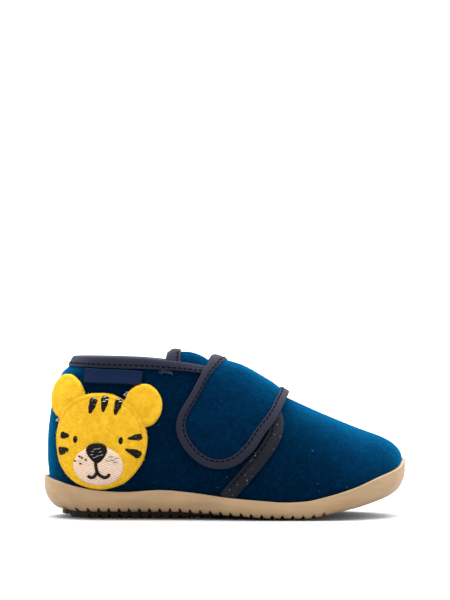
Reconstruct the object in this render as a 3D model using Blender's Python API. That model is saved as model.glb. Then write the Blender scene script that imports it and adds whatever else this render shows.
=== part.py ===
"""Child's felt strap slipper for the right foot, on a moulded rubber cup sole.

Sizes are millimetres until a solid is made, where MM turns them into metres. X runs from heel to toe, the
wearer's outer (lateral) side is -Y and Z is up from the floor. Every piece of the upper is worked out from one
function, felt_surface, that gives the last's skin for a station (0 heel, 1 toe) and an arc in degrees
(0 outer feather edge, 90 ridge, 180 inner feather edge).
"""
import math

import bmesh
import bpy
import numpy as np

MM = 0.001

# Main sizes
SOLE_LENGTH = 164.0
LIP = 2.0
GAP = 0.3
WALL = 2.2
QUARTER_STEP = 0.9
TAPE = 0.6
STRAP_FELT = 2.0
STRAP_EDGE_FELT = 1.0
TONGUE_FELT = 2.2
INSOLE_FELT = 2.4
PATCH_FELT = 2.2
LAST_END = SOLE_LENGTH / 2 - LIP - GAP

# Rounding of the last in plan, and of the toe cap seen from the side
HEEL_ROUND = 21.0
TOE_ROUND = 36.0
TOE_SQUARE = 2.3
CAP_ROUND = 12.0
CAP_SQUARE = 4.5
SIDE_BULGE = 0.035
FLANK = 2.3
TONGUE_FLANK = 1.75
RIDGE = 2.1

# Mesh density
QUARTER_LINES = 18
VAMP_LINES = 14
LEVELS = 11


class Rows:
    """A short table with named columns, read between its rows by a curve that never overshoots."""

    def __init__(self, columns, *rows):
        self.columns = columns
        self.values = np.array(rows, dtype=float)
        self.slopes = {}

    def slope_list(self, index):
        if index in self.slopes:
            return self.slopes[index]
        x = self.values[:, 0]
        y = self.values[:, index]
        steps = np.diff(y) / np.diff(x)
        slopes = np.zeros(len(x))
        slopes[0] = steps[0]
        slopes[-1] = steps[-1]
        for i in range(1, len(x) - 1):
            if steps[i - 1] * steps[i] > 0:
                slopes[i] = 2 * steps[i - 1] * steps[i] / (steps[i - 1] + steps[i])
        self.slopes[index] = slopes
        return slopes

    def at(self, column, place):
        index = self.columns.index(column)
        x = self.values[:, 0]
        y = self.values[:, index]
        slopes = self.slope_list(index)
        if place <= x[0]:
            return float(y[0])
        if place >= x[-1]:
            return float(y[-1])
        i = int(np.searchsorted(x, place)) - 1
        width = x[i + 1] - x[i]
        u = (place - x[i]) / width
        return float(
            y[i] * (1 + 2 * u) * (1 - u) ** 2
            + slopes[i] * width * u * (1 - u) ** 2
            + y[i + 1] * u * u * (3 - 2 * u)
            - slopes[i + 1] * width * u * u * (1 - u)
        )


# The last, section by section: middle line, half width at the feather edge and ridge height.
# Behind the throat the ridge is that of the leg, which the collar cuts off.
LAST = Rows(
    ("x", "middle", "half", "ridge"),
    (-79.7, -0.6, 22.2, 112.0),
    (-54.0, -1.1, 22.4, 107.0),
    (-37.0, -2.1, 22.2, 98.0),
    (-25.0, -2.9, 22.0, 87.0),
    (-16.0, -2.9, 22.8, 76.5),
    (-10.0, -2.8, 23.5, 71.2),
    (-5.0, -2.6, 24.4, 69.0),
    (1.0, -2.1, 25.8, 67.4),
    (7.5, -1.7, 27.4, 64.7),
    (13.0, -1.4, 28.6, 61.8),
    (22.0, -0.9, 29.8, 56.8),
    (29.0, -0.5, 30.3, 53.4),
    (39.0, -0.1, 30.6, 48.9),
    (52.0, 0.8, 30.4, 43.3),
    (61.0, 1.6, 29.6, 39.7),
    (70.0, 2.3, 28.8, 36.6),
    (79.7, 2.8, 28.2, 34.0),
)

# How far the heel's back line leans forward at each height
HEEL_CURVE = Rows(
    ("height", "lean"),
    (20.0, 0.0),
    (36.0, 0.1),
    (50.0, 1.8),
    (60.0, 4.3),
    (66.0, 7.2),
    (70.0, 9.4),
    (73.0, 10.5),
    (76.0, 11.2),
    (90.0, 13.0),
)

# Top edge of the felt: collar, then throat; it meets the ridge at the throat's front end
RIM = Rows(
    ("x", "height"),
    (-72.0, 71.6),
    (-48.0, 71.4),
    (-41.0, 71.0),
    (-26.0, 69.0),
    (-6.0, 65.2),
    (6.0, 62.0),
    (14.0, 59.5),
    (19.5, 58.2),
)

# Front edge of each quarter, by height
QUARTER_EDGE = Rows(
    ("height", "x"),
    (4.0, 3.4),
    (10.0, 3.6),
    (12.0, 5.2),
    (21.5, 13.4),
    (30.0, 20.2),
    (38.0, 24.6),
    (43.0, 25.2),
    (48.0, 23.6),
    (53.0, 21.0),
    (58.5, 18.5),
)

# Underside of the sole: height of its middle, and how much its edge lies above that
TREAD = Rows(
    ("x", "middle", "edge"),
    (-82.0, 2.6, 1.2),
    (-73.0, 1.5, 2.1),
    (-66.0, 0.5, 3.0),
    (-60.0, 0.0, 3.5),
    (-22.0, 0.0, 3.5),
    (-11.0, 0.8, 2.0),
    (6.0, 0.0, 1.7),
    (16.0, 0.0, 1.0),
    (34.0, 0.0, 0.7),
    (41.0, 0.7, 0.7),
    (48.4, 2.4, 0.8),
    (56.6, 4.0, 0.8),
    (64.7, 6.1, 0.8),
    (72.9, 8.8, 0.8),
    (82.0, 13.0, 0.8),
)

# Footbed inside the cup
FOOTBED = Rows(
    ("x", "height"),
    (-82.0, 13.2),
    (-76.0, 11.4),
    (-70.0, 10.0),
    (-62.0, 8.7),
    (-48.0, 7.8),
    (-19.0, 6.8),
    (4.0, 5.4),
    (18.0, 4.8),
    (34.0, 4.9),
    (43.0, 6.4),
    (54.0, 9.0),
    (65.0, 12.3),
    (73.0, 15.3),
    (82.0, 19.0),
)

# Top edge of the sole's lip
SOLE_LIP = Rows(
    ("x", "height"),
    (-82.0, 19.2),
    (-74.0, 17.0),
    (-66.0, 14.8),
    (-55.0, 12.9),
    (-44.0, 12.4),
    (-29.0, 13.3),
    (-14.0, 12.1),
    (2.0, 10.0),
    (16.0, 8.8),
    (27.0, 8.1),
    (36.0, 8.6),
    (43.0, 10.1),
    (56.6, 14.2),
    (67.5, 18.7),
    (75.4, 21.7),
    (77.4, 22.9),
    (79.7, 26.0),
)

# How far the side wall rounds in towards its lower edge
SOLE_TUCK = Rows(
    ("x", "depth"),
    (-80.0, 8.2),
    (-70.0, 6.2),
    (-55.0, 4.4),
    (60.0, 4.0),
    (74.0, 4.6),
    (80.0, 5.5),
)
WALL_LEVELS = (0.0, 0.06, 0.18, 0.38, 0.7, 1.0)
ROUND_PART = 0.75
ROUND_POWER = 0.6
TREAD_ACROSS = (-1.0, -0.64, -0.55, 0.55, 0.64, 1.0)
TREAD_FLAT = 0.55
TREAD_STEP = 0.09
GROOVE_ACROSS = (-1.5, -0.71, -0.48, 0.48, 0.71, 1.5)
GROOVE_START = -70.0
GROOVE_END = 45.0
GROOVE_PITCH = 4.55
GROOVE_WIDTH = 1.8
GROOVE_ROOT = 0.5
GROOVE_DEPTH = 1.5

# Ridge of the tongue
TONGUE = Rows(
    ("x", "ridge"),
    (-27.0, 74.6),
    (-18.0, 75.3),
    (-12.0, 73.5),
    (-8.0, 71.0),
    (-4.0, 68.0),
    (6.0, 61.6),
    (16.0, 56.2),
    (34.0, 47.2),
)
TONGUE_REAR = -26.4
TONGUE_FRONT = 33.0
TONGUE_STATIONS = 11
TONGUE_ARCS = (34.0, 46.0, 58.0, 70.0, 80.0, 90.0)

# Strap outline, by arc: middle and half width along the foot
STRAP = Rows(
    ("arc", "middle", "half"),
    (14.3, -4.5, 18.6),
    (21.0, -5.4, 18.6),
    (31.0, -3.2, 18.6),
    (43.0, 1.3, 19.3),
    (53.0, 3.9, 19.8),
    (61.5, 5.6, 19.5),
    (70.0, 7.7, 18.8),
    (90.0, 11.0, 17.0),
)
STRAP_TIP = 14.3
STRAP_ROUND_FROM = 31.0
STRAP_SEWN_END = 25.0
STRAP_SEWN_FROM = 42.0
STRAP_SEWN_SQUARE = 0.8
STRAP_LIFT_SIDE = 2.2
STRAP_LIFT_RIDGE = 1.3
STRAP_DEPTHS = (0.9, 4.8, 9.0)
STRAP_TAPE = 4.2

COLLAR_TAPE = 4.2
COLLAR_LAST_LINE = 16
FRONT_TAPE = 5.4
FRONT_TAPE_TOP = 66.0
TONGUE_TAPE = 6.4

# Woven tab below the collar tape: ends and heights
LABEL_REAR = -62.0
LABEL_FRONT = -36.5
LABEL_BELOW_TAPE = 0.4
LABEL_DEPTH = 5.6
LABEL_SLANT = 1.2
LABEL_STAND = 1.3
LABEL_THICK = 0.8

# Animal head at the outer heel: places are arc lengths from its middle, along the heel and up
HEAD_X = -56.2
HEAD_Z = 35.0
HEAD_RADIUS = 21.5
HEAD_RINGS = (0.0, 0.3, 0.56, 0.78, 0.93, 1.0)
HEAD_SPOKES = 28
HEAD_DOME = 0.6
EARS = Rows(
    ("bearing", "distance", "radius"),
    (39.7, 25.5, 9.2),
    (125.5, 24.4, 9.3),
)
EAR_NAMES = ("ear_front", "ear_back")
EAR_SPOKES = 8
EAR_RINGS = 4
EAR_FELT = 1.9
FLAT_BEYOND = -18.0
MUZZLE_PLACE = (-0.8, -10.9)
MUZZLE_HALF = (10.9, 8.5)
MUZZLE_THICK = 0.7
MUZZLE_SPOKES = 20


def feather_height(x):
    """Lower edge of the felt, just off the footbed."""
    return FOOTBED.at("height", x) + GAP


def half_width(x):
    """Half width of the last at its feather edge, rounded off at heel and toe."""
    heel = min(1.0, max(0.0, (x + LAST_END) / HEEL_ROUND))
    toe = min(1.0, max(0.0, (LAST_END - x) / TOE_ROUND))
    heel_factor = math.sqrt(1 - (1 - heel) ** 2)
    toe_factor = math.sqrt(1 - (1 - toe) ** TOE_SQUARE)
    return LAST.at("half", x) * heel_factor * toe_factor


def ridge_height(x):
    """Ridge of the last, falling off over the toe cap."""
    foot = feather_height(x)
    cap = min(1.0, max(0.0, (LAST_END - x) / CAP_ROUND))
    factor = (1 - (1 - cap) ** 2) ** (1 / CAP_SQUARE)
    return foot + (LAST.at("ridge", x) - foot) * factor


def along_last(station):
    return -LAST_END * math.cos(math.pi * station)


def arch(x, arc, half, ridge, flank, lean_from):
    """A point of the arch that stands on the section at x."""
    side = -1.0 if arc <= 90.0 else 1.0
    angle = math.radians(min(arc, 180.0 - arc))
    foot = feather_height(x)
    up = max(0.0, math.sin(angle)) ** (2 / RIDGE)
    out = max(0.0, math.cos(angle)) ** (2 / flank)
    if arc == 90.0:
        out = 0.0
    height = foot + (ridge - foot) * up
    fade = ((LAST_END - x) / (2 * LAST_END)) ** 2
    lean = HEEL_CURVE.at("lean", height) * fade * lean_from
    swell = 1 + SIDE_BULGE * 4 * up * (1 - up)
    return np.array((x + lean, LAST.at("middle", x) + side * half * out * swell, height))


def felt_surface(station, arc):
    """Outer felt of the vamp; the quarters lie a step above it."""
    x = along_last(station)
    return arch(x, arc, half_width(x), ridge_height(x), FLANK, 1.0)


def felt_normal(station, arc):
    """Outward direction of felt_surface."""
    if station > 0.9995:
        return np.array((0.96, 0.0, 0.28))
    before = felt_surface(max(0.0, station - 0.002), arc)
    after = felt_surface(min(1.0, station + 0.002), arc)
    lower = felt_surface(station, max(0.0, arc - 0.4))
    upper = felt_surface(station, min(180.0, arc + 0.4))
    forward = after - before
    if station < 0.001:
        forward = np.array((0.0, -1.0 if arc <= 90.0 else 1.0, 0.0))
    normal = np.cross(forward, upper - lower)
    normal = normal / np.linalg.norm(normal)
    outside = felt_surface(station, arc) - np.array((along_last(station) * 0.8, 0.0, 20.0))
    return normal if float(np.dot(normal, outside)) > 0 else -normal


def lifted(station, arc, lift):
    return felt_surface(station, arc) + felt_normal(station, arc) * lift


def solve(low, high, function):
    """Place between low and high where function turns from negative to positive."""
    for _ in range(48):
        middle = (low + high) / 2
        if function(middle) > 0:
            high = middle
        else:
            low = middle
    return (low + high) / 2


def station_at(x, arc):
    return solve(0.0, 1.0, lambda s: felt_surface(s, arc)[0] - x)


def edge_station(arc):
    """Station of the quarter's front edge on this arc."""
    def ahead(s):
        point = felt_surface(s, arc)
        return point[0] - QUARTER_EDGE.at("x", point[2])
    return solve(0.2, 0.8, ahead)


def smooth(value):
    value = min(1.0, max(0.0, value))
    return value * value * (3 - 2 * value)


def quarter_lift(point):
    """Thickness that the quarter adds: none at the sole's lip, full a little above it."""
    above = point[2] - SOLE_LIP.at("height", point[0]) - 0.2
    return QUARTER_STEP * min(1.0, max(0.0, above / 6.0))


def line_station(line, arc):
    """Station of a quarter line (0 heel to QUARTER_LINES front edge) on this arc."""
    return edge_station(arc) * line / QUARTER_LINES


def fore_station(line, arc):
    """Station of a vamp line (0 quarter edge to VAMP_LINES toe) on this arc."""
    front = edge_station(arc)
    return front + (1 - front) * line / VAMP_LINES


def line_arcs(station_of, top):
    """Arcs of a line's levels: the feather edge, the sole's lip, then even steps up to top."""
    def above(arc):
        point = felt_surface(station_of(arc), arc)
        return point[2] - SOLE_LIP.at("height", point[0]) - 0.1

    lip = solve(0.5, 60.0, above)
    return [0.0] + [lip + (top - lip) * level / (LEVELS - 1) for level in range(LEVELS)]


def rim_arc(line):
    """Arc at which a quarter line meets the rim."""
    if line == QUARTER_LINES:
        return 90.0

    def above(arc):
        point = felt_surface(line_station(line, arc), arc)
        return point[2] - RIM.at("height", point[0])

    if above(90.0) <= 0:
        return 90.0
    return solve(5.0, 90.0, above)


def mirrored(arc, side):
    return arc if side < 0 else 180.0 - arc


def quads(faces, grid):
    """Faces over a grid of points."""
    for row in range(len(grid) - 1):
        for column in range(len(grid[row]) - 1):
            faces.append((grid[row][column], grid[row][column + 1],
                          grid[row + 1][column + 1], grid[row + 1][column]))


def strip(faces, first, second):
    quads(faces, (first, second))


def solid(name, faces, material):
    """Closed solid from faces given by their corner points."""
    mesh = bpy.data.meshes.new(name)
    shape = bmesh.new()
    for face in faces:
        corners = [shape.verts.new([c * MM for c in corner]) for corner in face]
        shape.faces.new(corners)
    bmesh.ops.remove_doubles(shape, verts=shape.verts, dist=0.02 * MM)
    bmesh.ops.dissolve_degenerate(shape, edges=shape.edges, dist=0.01 * MM)
    bmesh.ops.recalc_face_normals(shape, faces=shape.faces)
    bmesh.ops.triangulate(shape, faces=shape.faces, quad_method="SHORT_EDGE")
    if shape.calc_volume(signed=True) < 0:
        bmesh.ops.reverse_faces(shape, faces=shape.faces)
    shape.to_mesh(mesh)
    shape.free()
    mesh.materials.append(material)
    thing = bpy.data.objects.new(name, mesh)
    bpy.context.scene.collection.objects.link(thing)
    return thing


def slab(name, top, bottom, material):
    """Solid between two grids of the same size."""
    faces = []
    quads(faces, top)
    quads(faces, bottom)
    strip(faces, top[0], bottom[0])
    strip(faces, top[-1], bottom[-1])
    strip(faces, [row[0] for row in top], [row[0] for row in bottom])
    strip(faces, [row[-1] for row in top], [row[-1] for row in bottom])
    return solid(name, faces, material)


def sweep(name, sections, material, closed):
    """Solid along a row of like sections; an open one is capped at its ends."""
    faces = []
    count = len(sections)
    ring = [list(section) + [section[0]] for section in sections]
    for i in range(count if closed else count - 1):
        strip(faces, ring[i], ring[(i + 1) % count])
    if not closed:
        faces.append(tuple(sections[0]))
        faces.append(tuple(sections[-1]))
    return solid(name, faces, material)


def principled(name, color, roughness):
    material = bpy.data.materials.new(name)
    material.use_nodes = True
    shader = next(n for n in material.node_tree.nodes if n.type == "BSDF_PRINCIPLED")
    shader.inputs["Base Color"].default_value = (*color, 1.0)
    shader.inputs["Roughness"].default_value = roughness
    return material


def base_stations():
    """Stations of the upper's lines where they meet the feather edge, heel to toe."""
    front = edge_station(0.0)
    rear = [front * i / QUARTER_LINES for i in range(QUARTER_LINES)]
    fore = [front + (1 - front) * i / VAMP_LINES for i in range(VAMP_LINES + 1)]
    return rear + fore


def build_upper(material):
    """Vamp and quarters as one hollow solid, open at the collar, the throat and underneath."""
    faces = []
    for side in (-1, 1):
        outer_rear, inner_rear = [], []
        for line in range(QUARTER_LINES + 1):
            outer, inner = [], []
            for arc in line_arcs(lambda a: line_station(line, a), rim_arc(line)):
                station = line_station(line, arc)
                place = mirrored(arc, side)
                skin = felt_surface(station, place)
                normal = felt_normal(station, place)
                outer.append(skin + normal * quarter_lift(skin))
                inner.append(skin - normal * WALL)
            outer_rear.append(outer)
            inner_rear.append(inner)
        outer_fore, inner_fore = [], []
        for line in range(VAMP_LINES + 1):
            outer, inner = [], []
            for arc in line_arcs(lambda a: fore_station(line, a), 90.0):
                station = fore_station(line, arc)
                place = mirrored(arc, side)
                skin = felt_surface(station, place)
                outer.append(skin)
                inner.append(skin - felt_normal(station, place) * WALL)
            outer_fore.append(outer)
            inner_fore.append(inner)
        quads(faces, outer_rear)
        quads(faces, inner_rear)
        quads(faces, outer_fore)
        quads(faces, inner_fore)
        strip(faces, outer_rear[-1], outer_fore[0])
        strip(faces, [line[-1] for line in outer_rear], [line[-1] for line in inner_rear])
        for outer, inner in ((outer_rear, inner_rear), (outer_fore, inner_fore)):
            strip(faces, [line[0] for line in outer], [line[0] for line in inner])
    return solid("upper", faces, material)


def plan_ring():
    """Feather outline, round from the heel by the outer side to the toe and back: point, outward, station, arc."""
    stations = base_stations()
    ring = []
    for side in (-1, 1):
        order = stations if side < 0 else stations[-2:0:-1]
        for station in order:
            arc = mirrored(0.0, side)
            outward = felt_normal(station, arc)
            if station > 0.9995:
                outward = np.array((1.0, 0.0, 0.0))
            outward = np.array((outward[0], outward[1], 0.0))
            ring.append((felt_surface(station, arc), outward / np.linalg.norm(outward), station, side))
    return ring


def arc_at_height(station, height):
    """Arc of a station at this height."""
    return solve(0.0, 89.0, lambda arc: felt_surface(station, arc)[2] - height)


def tread_height(x, across):
    """Underside of the sole: a flat pad in the middle, stepping up to the edge."""
    rise = min(1.0, max(0.0, (abs(across) - TREAD_FLAT) / TREAD_STEP))
    return TREAD.at("middle", x) + TREAD.at("edge", x) * rise


def build_sole(material):
    """Cup sole: rounded wall, lip, inner wall and footbed as rings, then the cross grooves are cut."""
    ring = plan_ring()
    count = len(ring)
    half = len(base_stations()) - 1
    columns = []
    for point, outward, station, side in ring:
        lip_z = SOLE_LIP.at("height", point[0])
        if station > 0.9995:
            lip_skin = point.copy()
        else:
            lip_skin = felt_surface(station, mirrored(arc_at_height(station, lip_z), side))
        bulge = max(0.0, float(np.dot((lip_skin - point)[:2], outward[:2])))
        tuck = SOLE_TUCK.at("depth", point[0])
        lower = point + outward * (LIP + GAP - tuck)
        low_z = tread_height(lower[0], 1.0)
        column = []
        for level in WALL_LEVELS:
            short = 1 - min(1.0, level / ROUND_PART)
            rounded = 1 - (1 - short * short) ** ROUND_POWER
            place = point + outward * (LIP + GAP + bulge * level - tuck * rounded)
            place[2] = low_z + (lip_z - low_z) * level
            column.append(place)
        inner_top = point + outward * (GAP + bulge)
        inner_top[2] = lip_z - 0.3
        bevel = point + outward * (GAP + bulge + 0.5)
        bevel[2] = lip_z + 0.1
        inner_low = point + outward * GAP
        inner_low[2] = FOOTBED.at("height", point[0])
        columns.append(column + [bevel, inner_top, inner_low])
    faces = []
    for i in range(count):
        strip(faces, columns[i], columns[(i + 1) % count])
    under, footbed = [], []
    for i in range(half + 1):
        outer = columns[i]
        inner = columns[(count - i) % count]
        row = []
        for across in TREAD_ACROSS:
            place = outer[0] + (inner[0] - outer[0]) * (across + 1) / 2
            place[2] = tread_height(place[0], across)
            row.append(place)
        row[0] = outer[0]
        row[-1] = inner[0]
        under.append(row)
        footbed.append([outer[-1], inner[-1]])
    quads(faces, under)
    quads(faces, footbed)
    sole = solid("sole", faces, material)

    cutters = []
    for groove in range(int((GROOVE_END - GROOVE_START) / GROOVE_PITCH) + 1):
        x = GROOVE_START + groove * GROOVE_PITCH
        reach = half_width(x) + LIP + GAP - SOLE_TUCK.at("depth", x)
        sections = []
        for across in GROOVE_ACROSS:
            y = LAST.at("middle", x) + across * reach
            edge = tread_height(x, across)
            root = edge + GROOVE_DEPTH
            foot = edge - 4.0
            spread = GROOVE_ROOT + (GROOVE_WIDTH - GROOVE_ROOT) * (root - foot) / GROOVE_DEPTH
            sections.append((
                np.array((x - GROOVE_ROOT / 2, y, root)),
                np.array((x + GROOVE_ROOT / 2, y, root)),
                np.array((x + spread / 2, y, foot)),
                np.array((x - spread / 2, y, foot)),
            ))
        cutters.append(sections)
    for index, sections in enumerate(cutters):
        cutter = sweep(f"groove_{index}", sections, material, False)
        cut = sole.modifiers.new(cutter.name, "BOOLEAN")
        cut.operation = "DIFFERENCE"
        cut.solver = "EXACT"
        cut.object = cutter
        bpy.context.view_layer.objects.active = sole
        bpy.ops.object.modifier_apply(modifier=cut.name)
        bpy.data.objects.remove(cutter)
    return sole


def build_insole(material):
    """Sheet on the footbed, inside the upper's wall."""
    stations = base_stations()
    top, bottom = [], []
    for station in stations:
        upper_row, lower_row = [], []
        for side in (-1, 1):
            arc = mirrored(0.0, side)
            point = felt_surface(station, arc)
            outward = felt_normal(station, arc)
            outward = np.array((outward[0], outward[1], 0.0))
            outward = outward / np.linalg.norm(outward)
            place = point - outward * (WALL + GAP + 0.1)
            for row, rise in ((lower_row, GAP), (upper_row, GAP + INSOLE_FELT)):
                row.append(np.array((place[0], place[1], FOOTBED.at("height", place[0]) + rise)))
        top.append(upper_row)
        bottom.append(lower_row)
    return slab("insole", top, bottom, material)


def tongue_surface(x, arc):
    """Outer face of the tongue: an arch of its own, inside the quarters."""
    inset = WALL + TAPE + 2 * GAP + 0.2
    return arch(x, arc, half_width(x) - inset, TONGUE.at("ridge", x), TONGUE_FLANK, 0.0)


def tongue_normal(x, arc):
    forward = tongue_surface(x + 0.3, arc) - tongue_surface(x - 0.3, arc)
    around = tongue_surface(x, arc + 0.5) - tongue_surface(x, arc - 0.5)
    normal = np.cross(around, forward)
    normal = normal / np.linalg.norm(normal)
    return normal if normal[2] > 0 else -normal


def build_tongue(material):
    arcs = list(TONGUE_ARCS) + [180.0 - arc for arc in reversed(TONGUE_ARCS[:-1])]
    top, bottom = [], []
    for i in range(TONGUE_STATIONS + 1):
        x = TONGUE_REAR + (TONGUE_FRONT - TONGUE_REAR) * i / TONGUE_STATIONS
        upper_row = [tongue_surface(x, arc) for arc in arcs]
        lower_row = [point - tongue_normal(x, arc) * TONGUE_FELT for point, arc in zip(upper_row, arcs)]
        top.append(upper_row)
        bottom.append(lower_row)
    return slab("tongue", top, bottom, material)


def skin_frame(station, arc):
    """Point of the felt, outward direction, and the rates of change along station and arc."""
    along = felt_surface(station + 0.001, arc) - felt_surface(station - 0.001, arc)
    around = felt_surface(station, arc + 0.2) - felt_surface(station, arc - 0.2)
    return felt_surface(station, arc), felt_normal(station, arc), along / 0.002, around / 0.4


def walk(station, arc, step, parts=2):
    """Station and arc reached from a place by moving along the felt by this vector."""
    for _ in range(parts):
        _, _, along, around = skin_frame(station, arc)
        rates = np.array((along, around)).T
        change = np.linalg.lstsq(rates, step / parts, rcond=None)[0]
        station = min(0.999, max(0.004, station + float(change[0])))
        arc = min(178.0, max(1.0, arc + float(change[1])))
    return station, arc


def unit(vector):
    return vector / np.linalg.norm(vector)


def build_collar_binding(material):
    """Tape folded over the rim, from under the strap round the heel to under the strap."""
    sections = []
    stops = [(line, -1) for line in range(COLLAR_LAST_LINE, -1, -1)]
    stops += [(line, 1) for line in range(1, COLLAR_LAST_LINE + 1)]
    for line, side in stops:
        top = rim_arc(line)
        rise = felt_surface(line_station(line, top), top) - felt_surface(line_station(line, top - 0.5), top - 0.5)
        per_degree = np.linalg.norm(rise) / 0.5
        levels = []
        for depth in (0.0, COLLAR_TAPE / 2, COLLAR_TAPE):
            arc = top - depth / per_degree
            station = line_station(line, arc)
            place = mirrored(arc, side)
            levels.append((felt_surface(station, place), felt_normal(station, place)))
        up = unit(levels[0][0] - levels[1][0])
        outer = [skin + normal * (quarter_lift(skin) + GAP) for skin, normal in levels]
        inner = [skin - normal * (WALL + GAP) for skin, normal in levels]
        out = levels[0][1]
        sections.append((
            outer[2],
            outer[2] + levels[2][1] * TAPE,
            outer[1] + levels[1][1] * TAPE,
            outer[0] + out * TAPE,
            outer[0] + up * (GAP + TAPE) + out * (TAPE - 0.6),
            inner[0] + up * (GAP + TAPE) - out * (TAPE - 0.6),
            inner[0] - out * TAPE,
            inner[1] - levels[1][1] * TAPE,
            inner[2] - levels[2][1] * TAPE,
            inner[2],
            inner[1],
            inner[0] + up * GAP,
            outer[0] + up * GAP,
            outer[1],
        ))
    return sweep("collar_binding", sections, material, False)


def build_front_binding(name, side, material):
    """Tape along the front edge of a quarter, from the sole's lip to under the strap."""
    sections = []

    def above(arc):
        point = felt_surface(edge_station(arc), arc)
        return point[2] - SOLE_LIP.at("height", point[0]) - 0.8

    low = solve(0.5, 40.0, above)
    count = 14
    for i in range(count + 1):
        arc = low + (FRONT_TAPE_TOP - low) * i / count
        station = edge_station(arc)
        place = mirrored(arc, side)
        skin = felt_surface(station, place)
        normal = felt_normal(station, place)
        ahead = felt_surface(edge_station(arc + 0.5), mirrored(arc + 0.5, side))
        behind = felt_surface(edge_station(max(0.0, arc - 0.5)), mirrored(max(0.0, arc - 0.5), side))
        back = np.cross(normal, unit(ahead - behind))
        back = unit(back)
        if back[0] > 0:
            back = -back

        def at(depth, height):
            if depth < 1.0:
                return skin + back * depth + normal * height
            s, a = walk(station, place, back * depth)
            point = felt_surface(s, a)
            return point + felt_normal(s, a) * (height - lift + quarter_lift(point))

        lift = quarter_lift(skin)
        top = lift + GAP + TAPE
        sections.append((
            at(FRONT_TAPE, lift + GAP),
            at(FRONT_TAPE, top),
            at(FRONT_TAPE / 2, top),
            at(0.2, top),
            at(-GAP - TAPE, GAP + 0.6 * (top - GAP)),
            at(-GAP - TAPE, GAP),
            at(-GAP, GAP),
            at(-GAP, lift + GAP),
            at(FRONT_TAPE / 2, lift + GAP),
        ))
    return sweep(name, sections, material, False)


def strap_rows():
    """Rows over the strap from its free end to its sewn end: arc and share of the half width."""
    rows = []
    for i in range(9):
        angle = math.radians(90.0 * i / 8)
        rows.append((STRAP_ROUND_FROM - (STRAP_ROUND_FROM - STRAP_TIP) * math.cos(angle), math.sin(angle)))
    over = 180.0 - STRAP_SEWN_FROM
    for i in range(1, 22):
        rows.append((STRAP_ROUND_FROM + (over - STRAP_ROUND_FROM) * i / 21, 1.0))
    end = 180.0 - STRAP_SEWN_END
    for i in range(1, 8):
        angle = math.radians(90.0 * i / 7)
        rows.append((over + (end - over) * math.sin(angle), math.cos(angle) ** STRAP_SEWN_SQUARE))
    rows[-1] = (end, 0.0)
    return rows


def strap_station(arc, share):
    """Station of a place on the strap; share runs from -1 at its rear edge to 1 at its front edge."""
    folded = min(arc, 180.0 - arc)
    x = STRAP.at("middle", folded) + share * STRAP.at("half", folded)
    return math.acos(-x / LAST_END) / math.pi


def strap_lift(arc):
    """Underside of the strap above the vamp's felt."""
    return STRAP_LIFT_RIDGE + (STRAP_LIFT_SIDE - STRAP_LIFT_RIDGE) * smooth((abs(arc - 90.0) - 2.0) / 12.0)


def strap_outline():
    """Outline of the strap, free end first, front edge, sewn end, rear edge: station, arc, way inward."""
    rows = strap_rows()
    loop = [(strap_station(arc, share), arc) for arc, share in rows]
    loop += [(strap_station(arc, -share), arc) for arc, share in reversed(rows[1:-1])]
    outline = []
    for i, (station, arc) in enumerate(loop):
        skin = felt_surface(station, arc)
        after = felt_surface(*loop[(i + 1) % len(loop)])
        before = felt_surface(*loop[i - 1])
        inward = unit(np.cross(felt_normal(station, arc), unit(after - before)))
        middle_arc = min(max(arc, STRAP_ROUND_FROM), 180.0 - STRAP_SEWN_FROM)
        middle = felt_surface(strap_station(middle_arc, 0.0), middle_arc)
        if float(np.dot(inward, middle - skin)) < 0:
            inward = -inward
        outline.append((station, arc, inward))
    return outline


def strap_ring(outline, depth):
    """Places at this depth inside the outline."""
    return [walk(station, arc, inward * depth, 3) for station, arc, inward in outline]


def over_strap(place, height):
    """Point above the strap's underside."""
    return lifted(place[0], place[1], strap_lift(place[1]) + height)


def build_strap(outline, material):
    """Felt of the strap: pressed thin under its tape, full inside it."""
    rings = [strap_ring(outline, depth) for depth in STRAP_DEPTHS]
    heights = [STRAP_EDGE_FELT] * (len(rings) - 1) + [STRAP_FELT]
    faces = []
    for height_of in (lambda k: heights[k], lambda k: 0.0):
        loops = [[over_strap(place, height_of(k)) for place in ring] for k, ring in enumerate(rings)]
        for first, second in zip(loops, loops[1:]):
            strip(faces, first + first[:1], second + second[:1])
        last = rings[-1]
        count = len(last)
        rows = []
        for i in range(count // 2 + 1):
            front = np.array(last[i])
            rear = np.array(last[(count - i) % count])
            rows.append([over_strap(front + (rear - front) * part, height_of(-1)) for part in (0.0, 0.33, 0.67, 1.0)])
        quads(faces, rows)
    edge = [over_strap(place, STRAP_EDGE_FELT) for place in rings[0]]
    under = [over_strap(place, 0.0) for place in rings[0]]
    strip(faces, edge + edge[:1], under + under[:1])
    return solid("strap", faces, material)


def build_strap_binding(outline, material):
    """Tape round the strap's outline, over its face and its edge."""
    inside = strap_ring(outline, STRAP_TAPE)
    sections = []
    for (station, arc, inward), far in zip(outline, inside):
        skin = felt_surface(station, arc)
        normal = felt_normal(station, arc)
        low = strap_lift(arc)
        top = low + STRAP_EDGE_FELT + GAP
        sections.append((
            skin + normal * low,
            skin + normal * (top + TAPE - 0.4),
            skin + inward * 0.6 + normal * (top + TAPE),
            over_strap(far, STRAP_EDGE_FELT + GAP + TAPE),
            over_strap(far, STRAP_EDGE_FELT + GAP),
            skin + inward * TAPE + normal * top,
            skin + inward * TAPE + normal * low,
        ))
    return sweep("strap_binding", sections, material, True)


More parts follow.
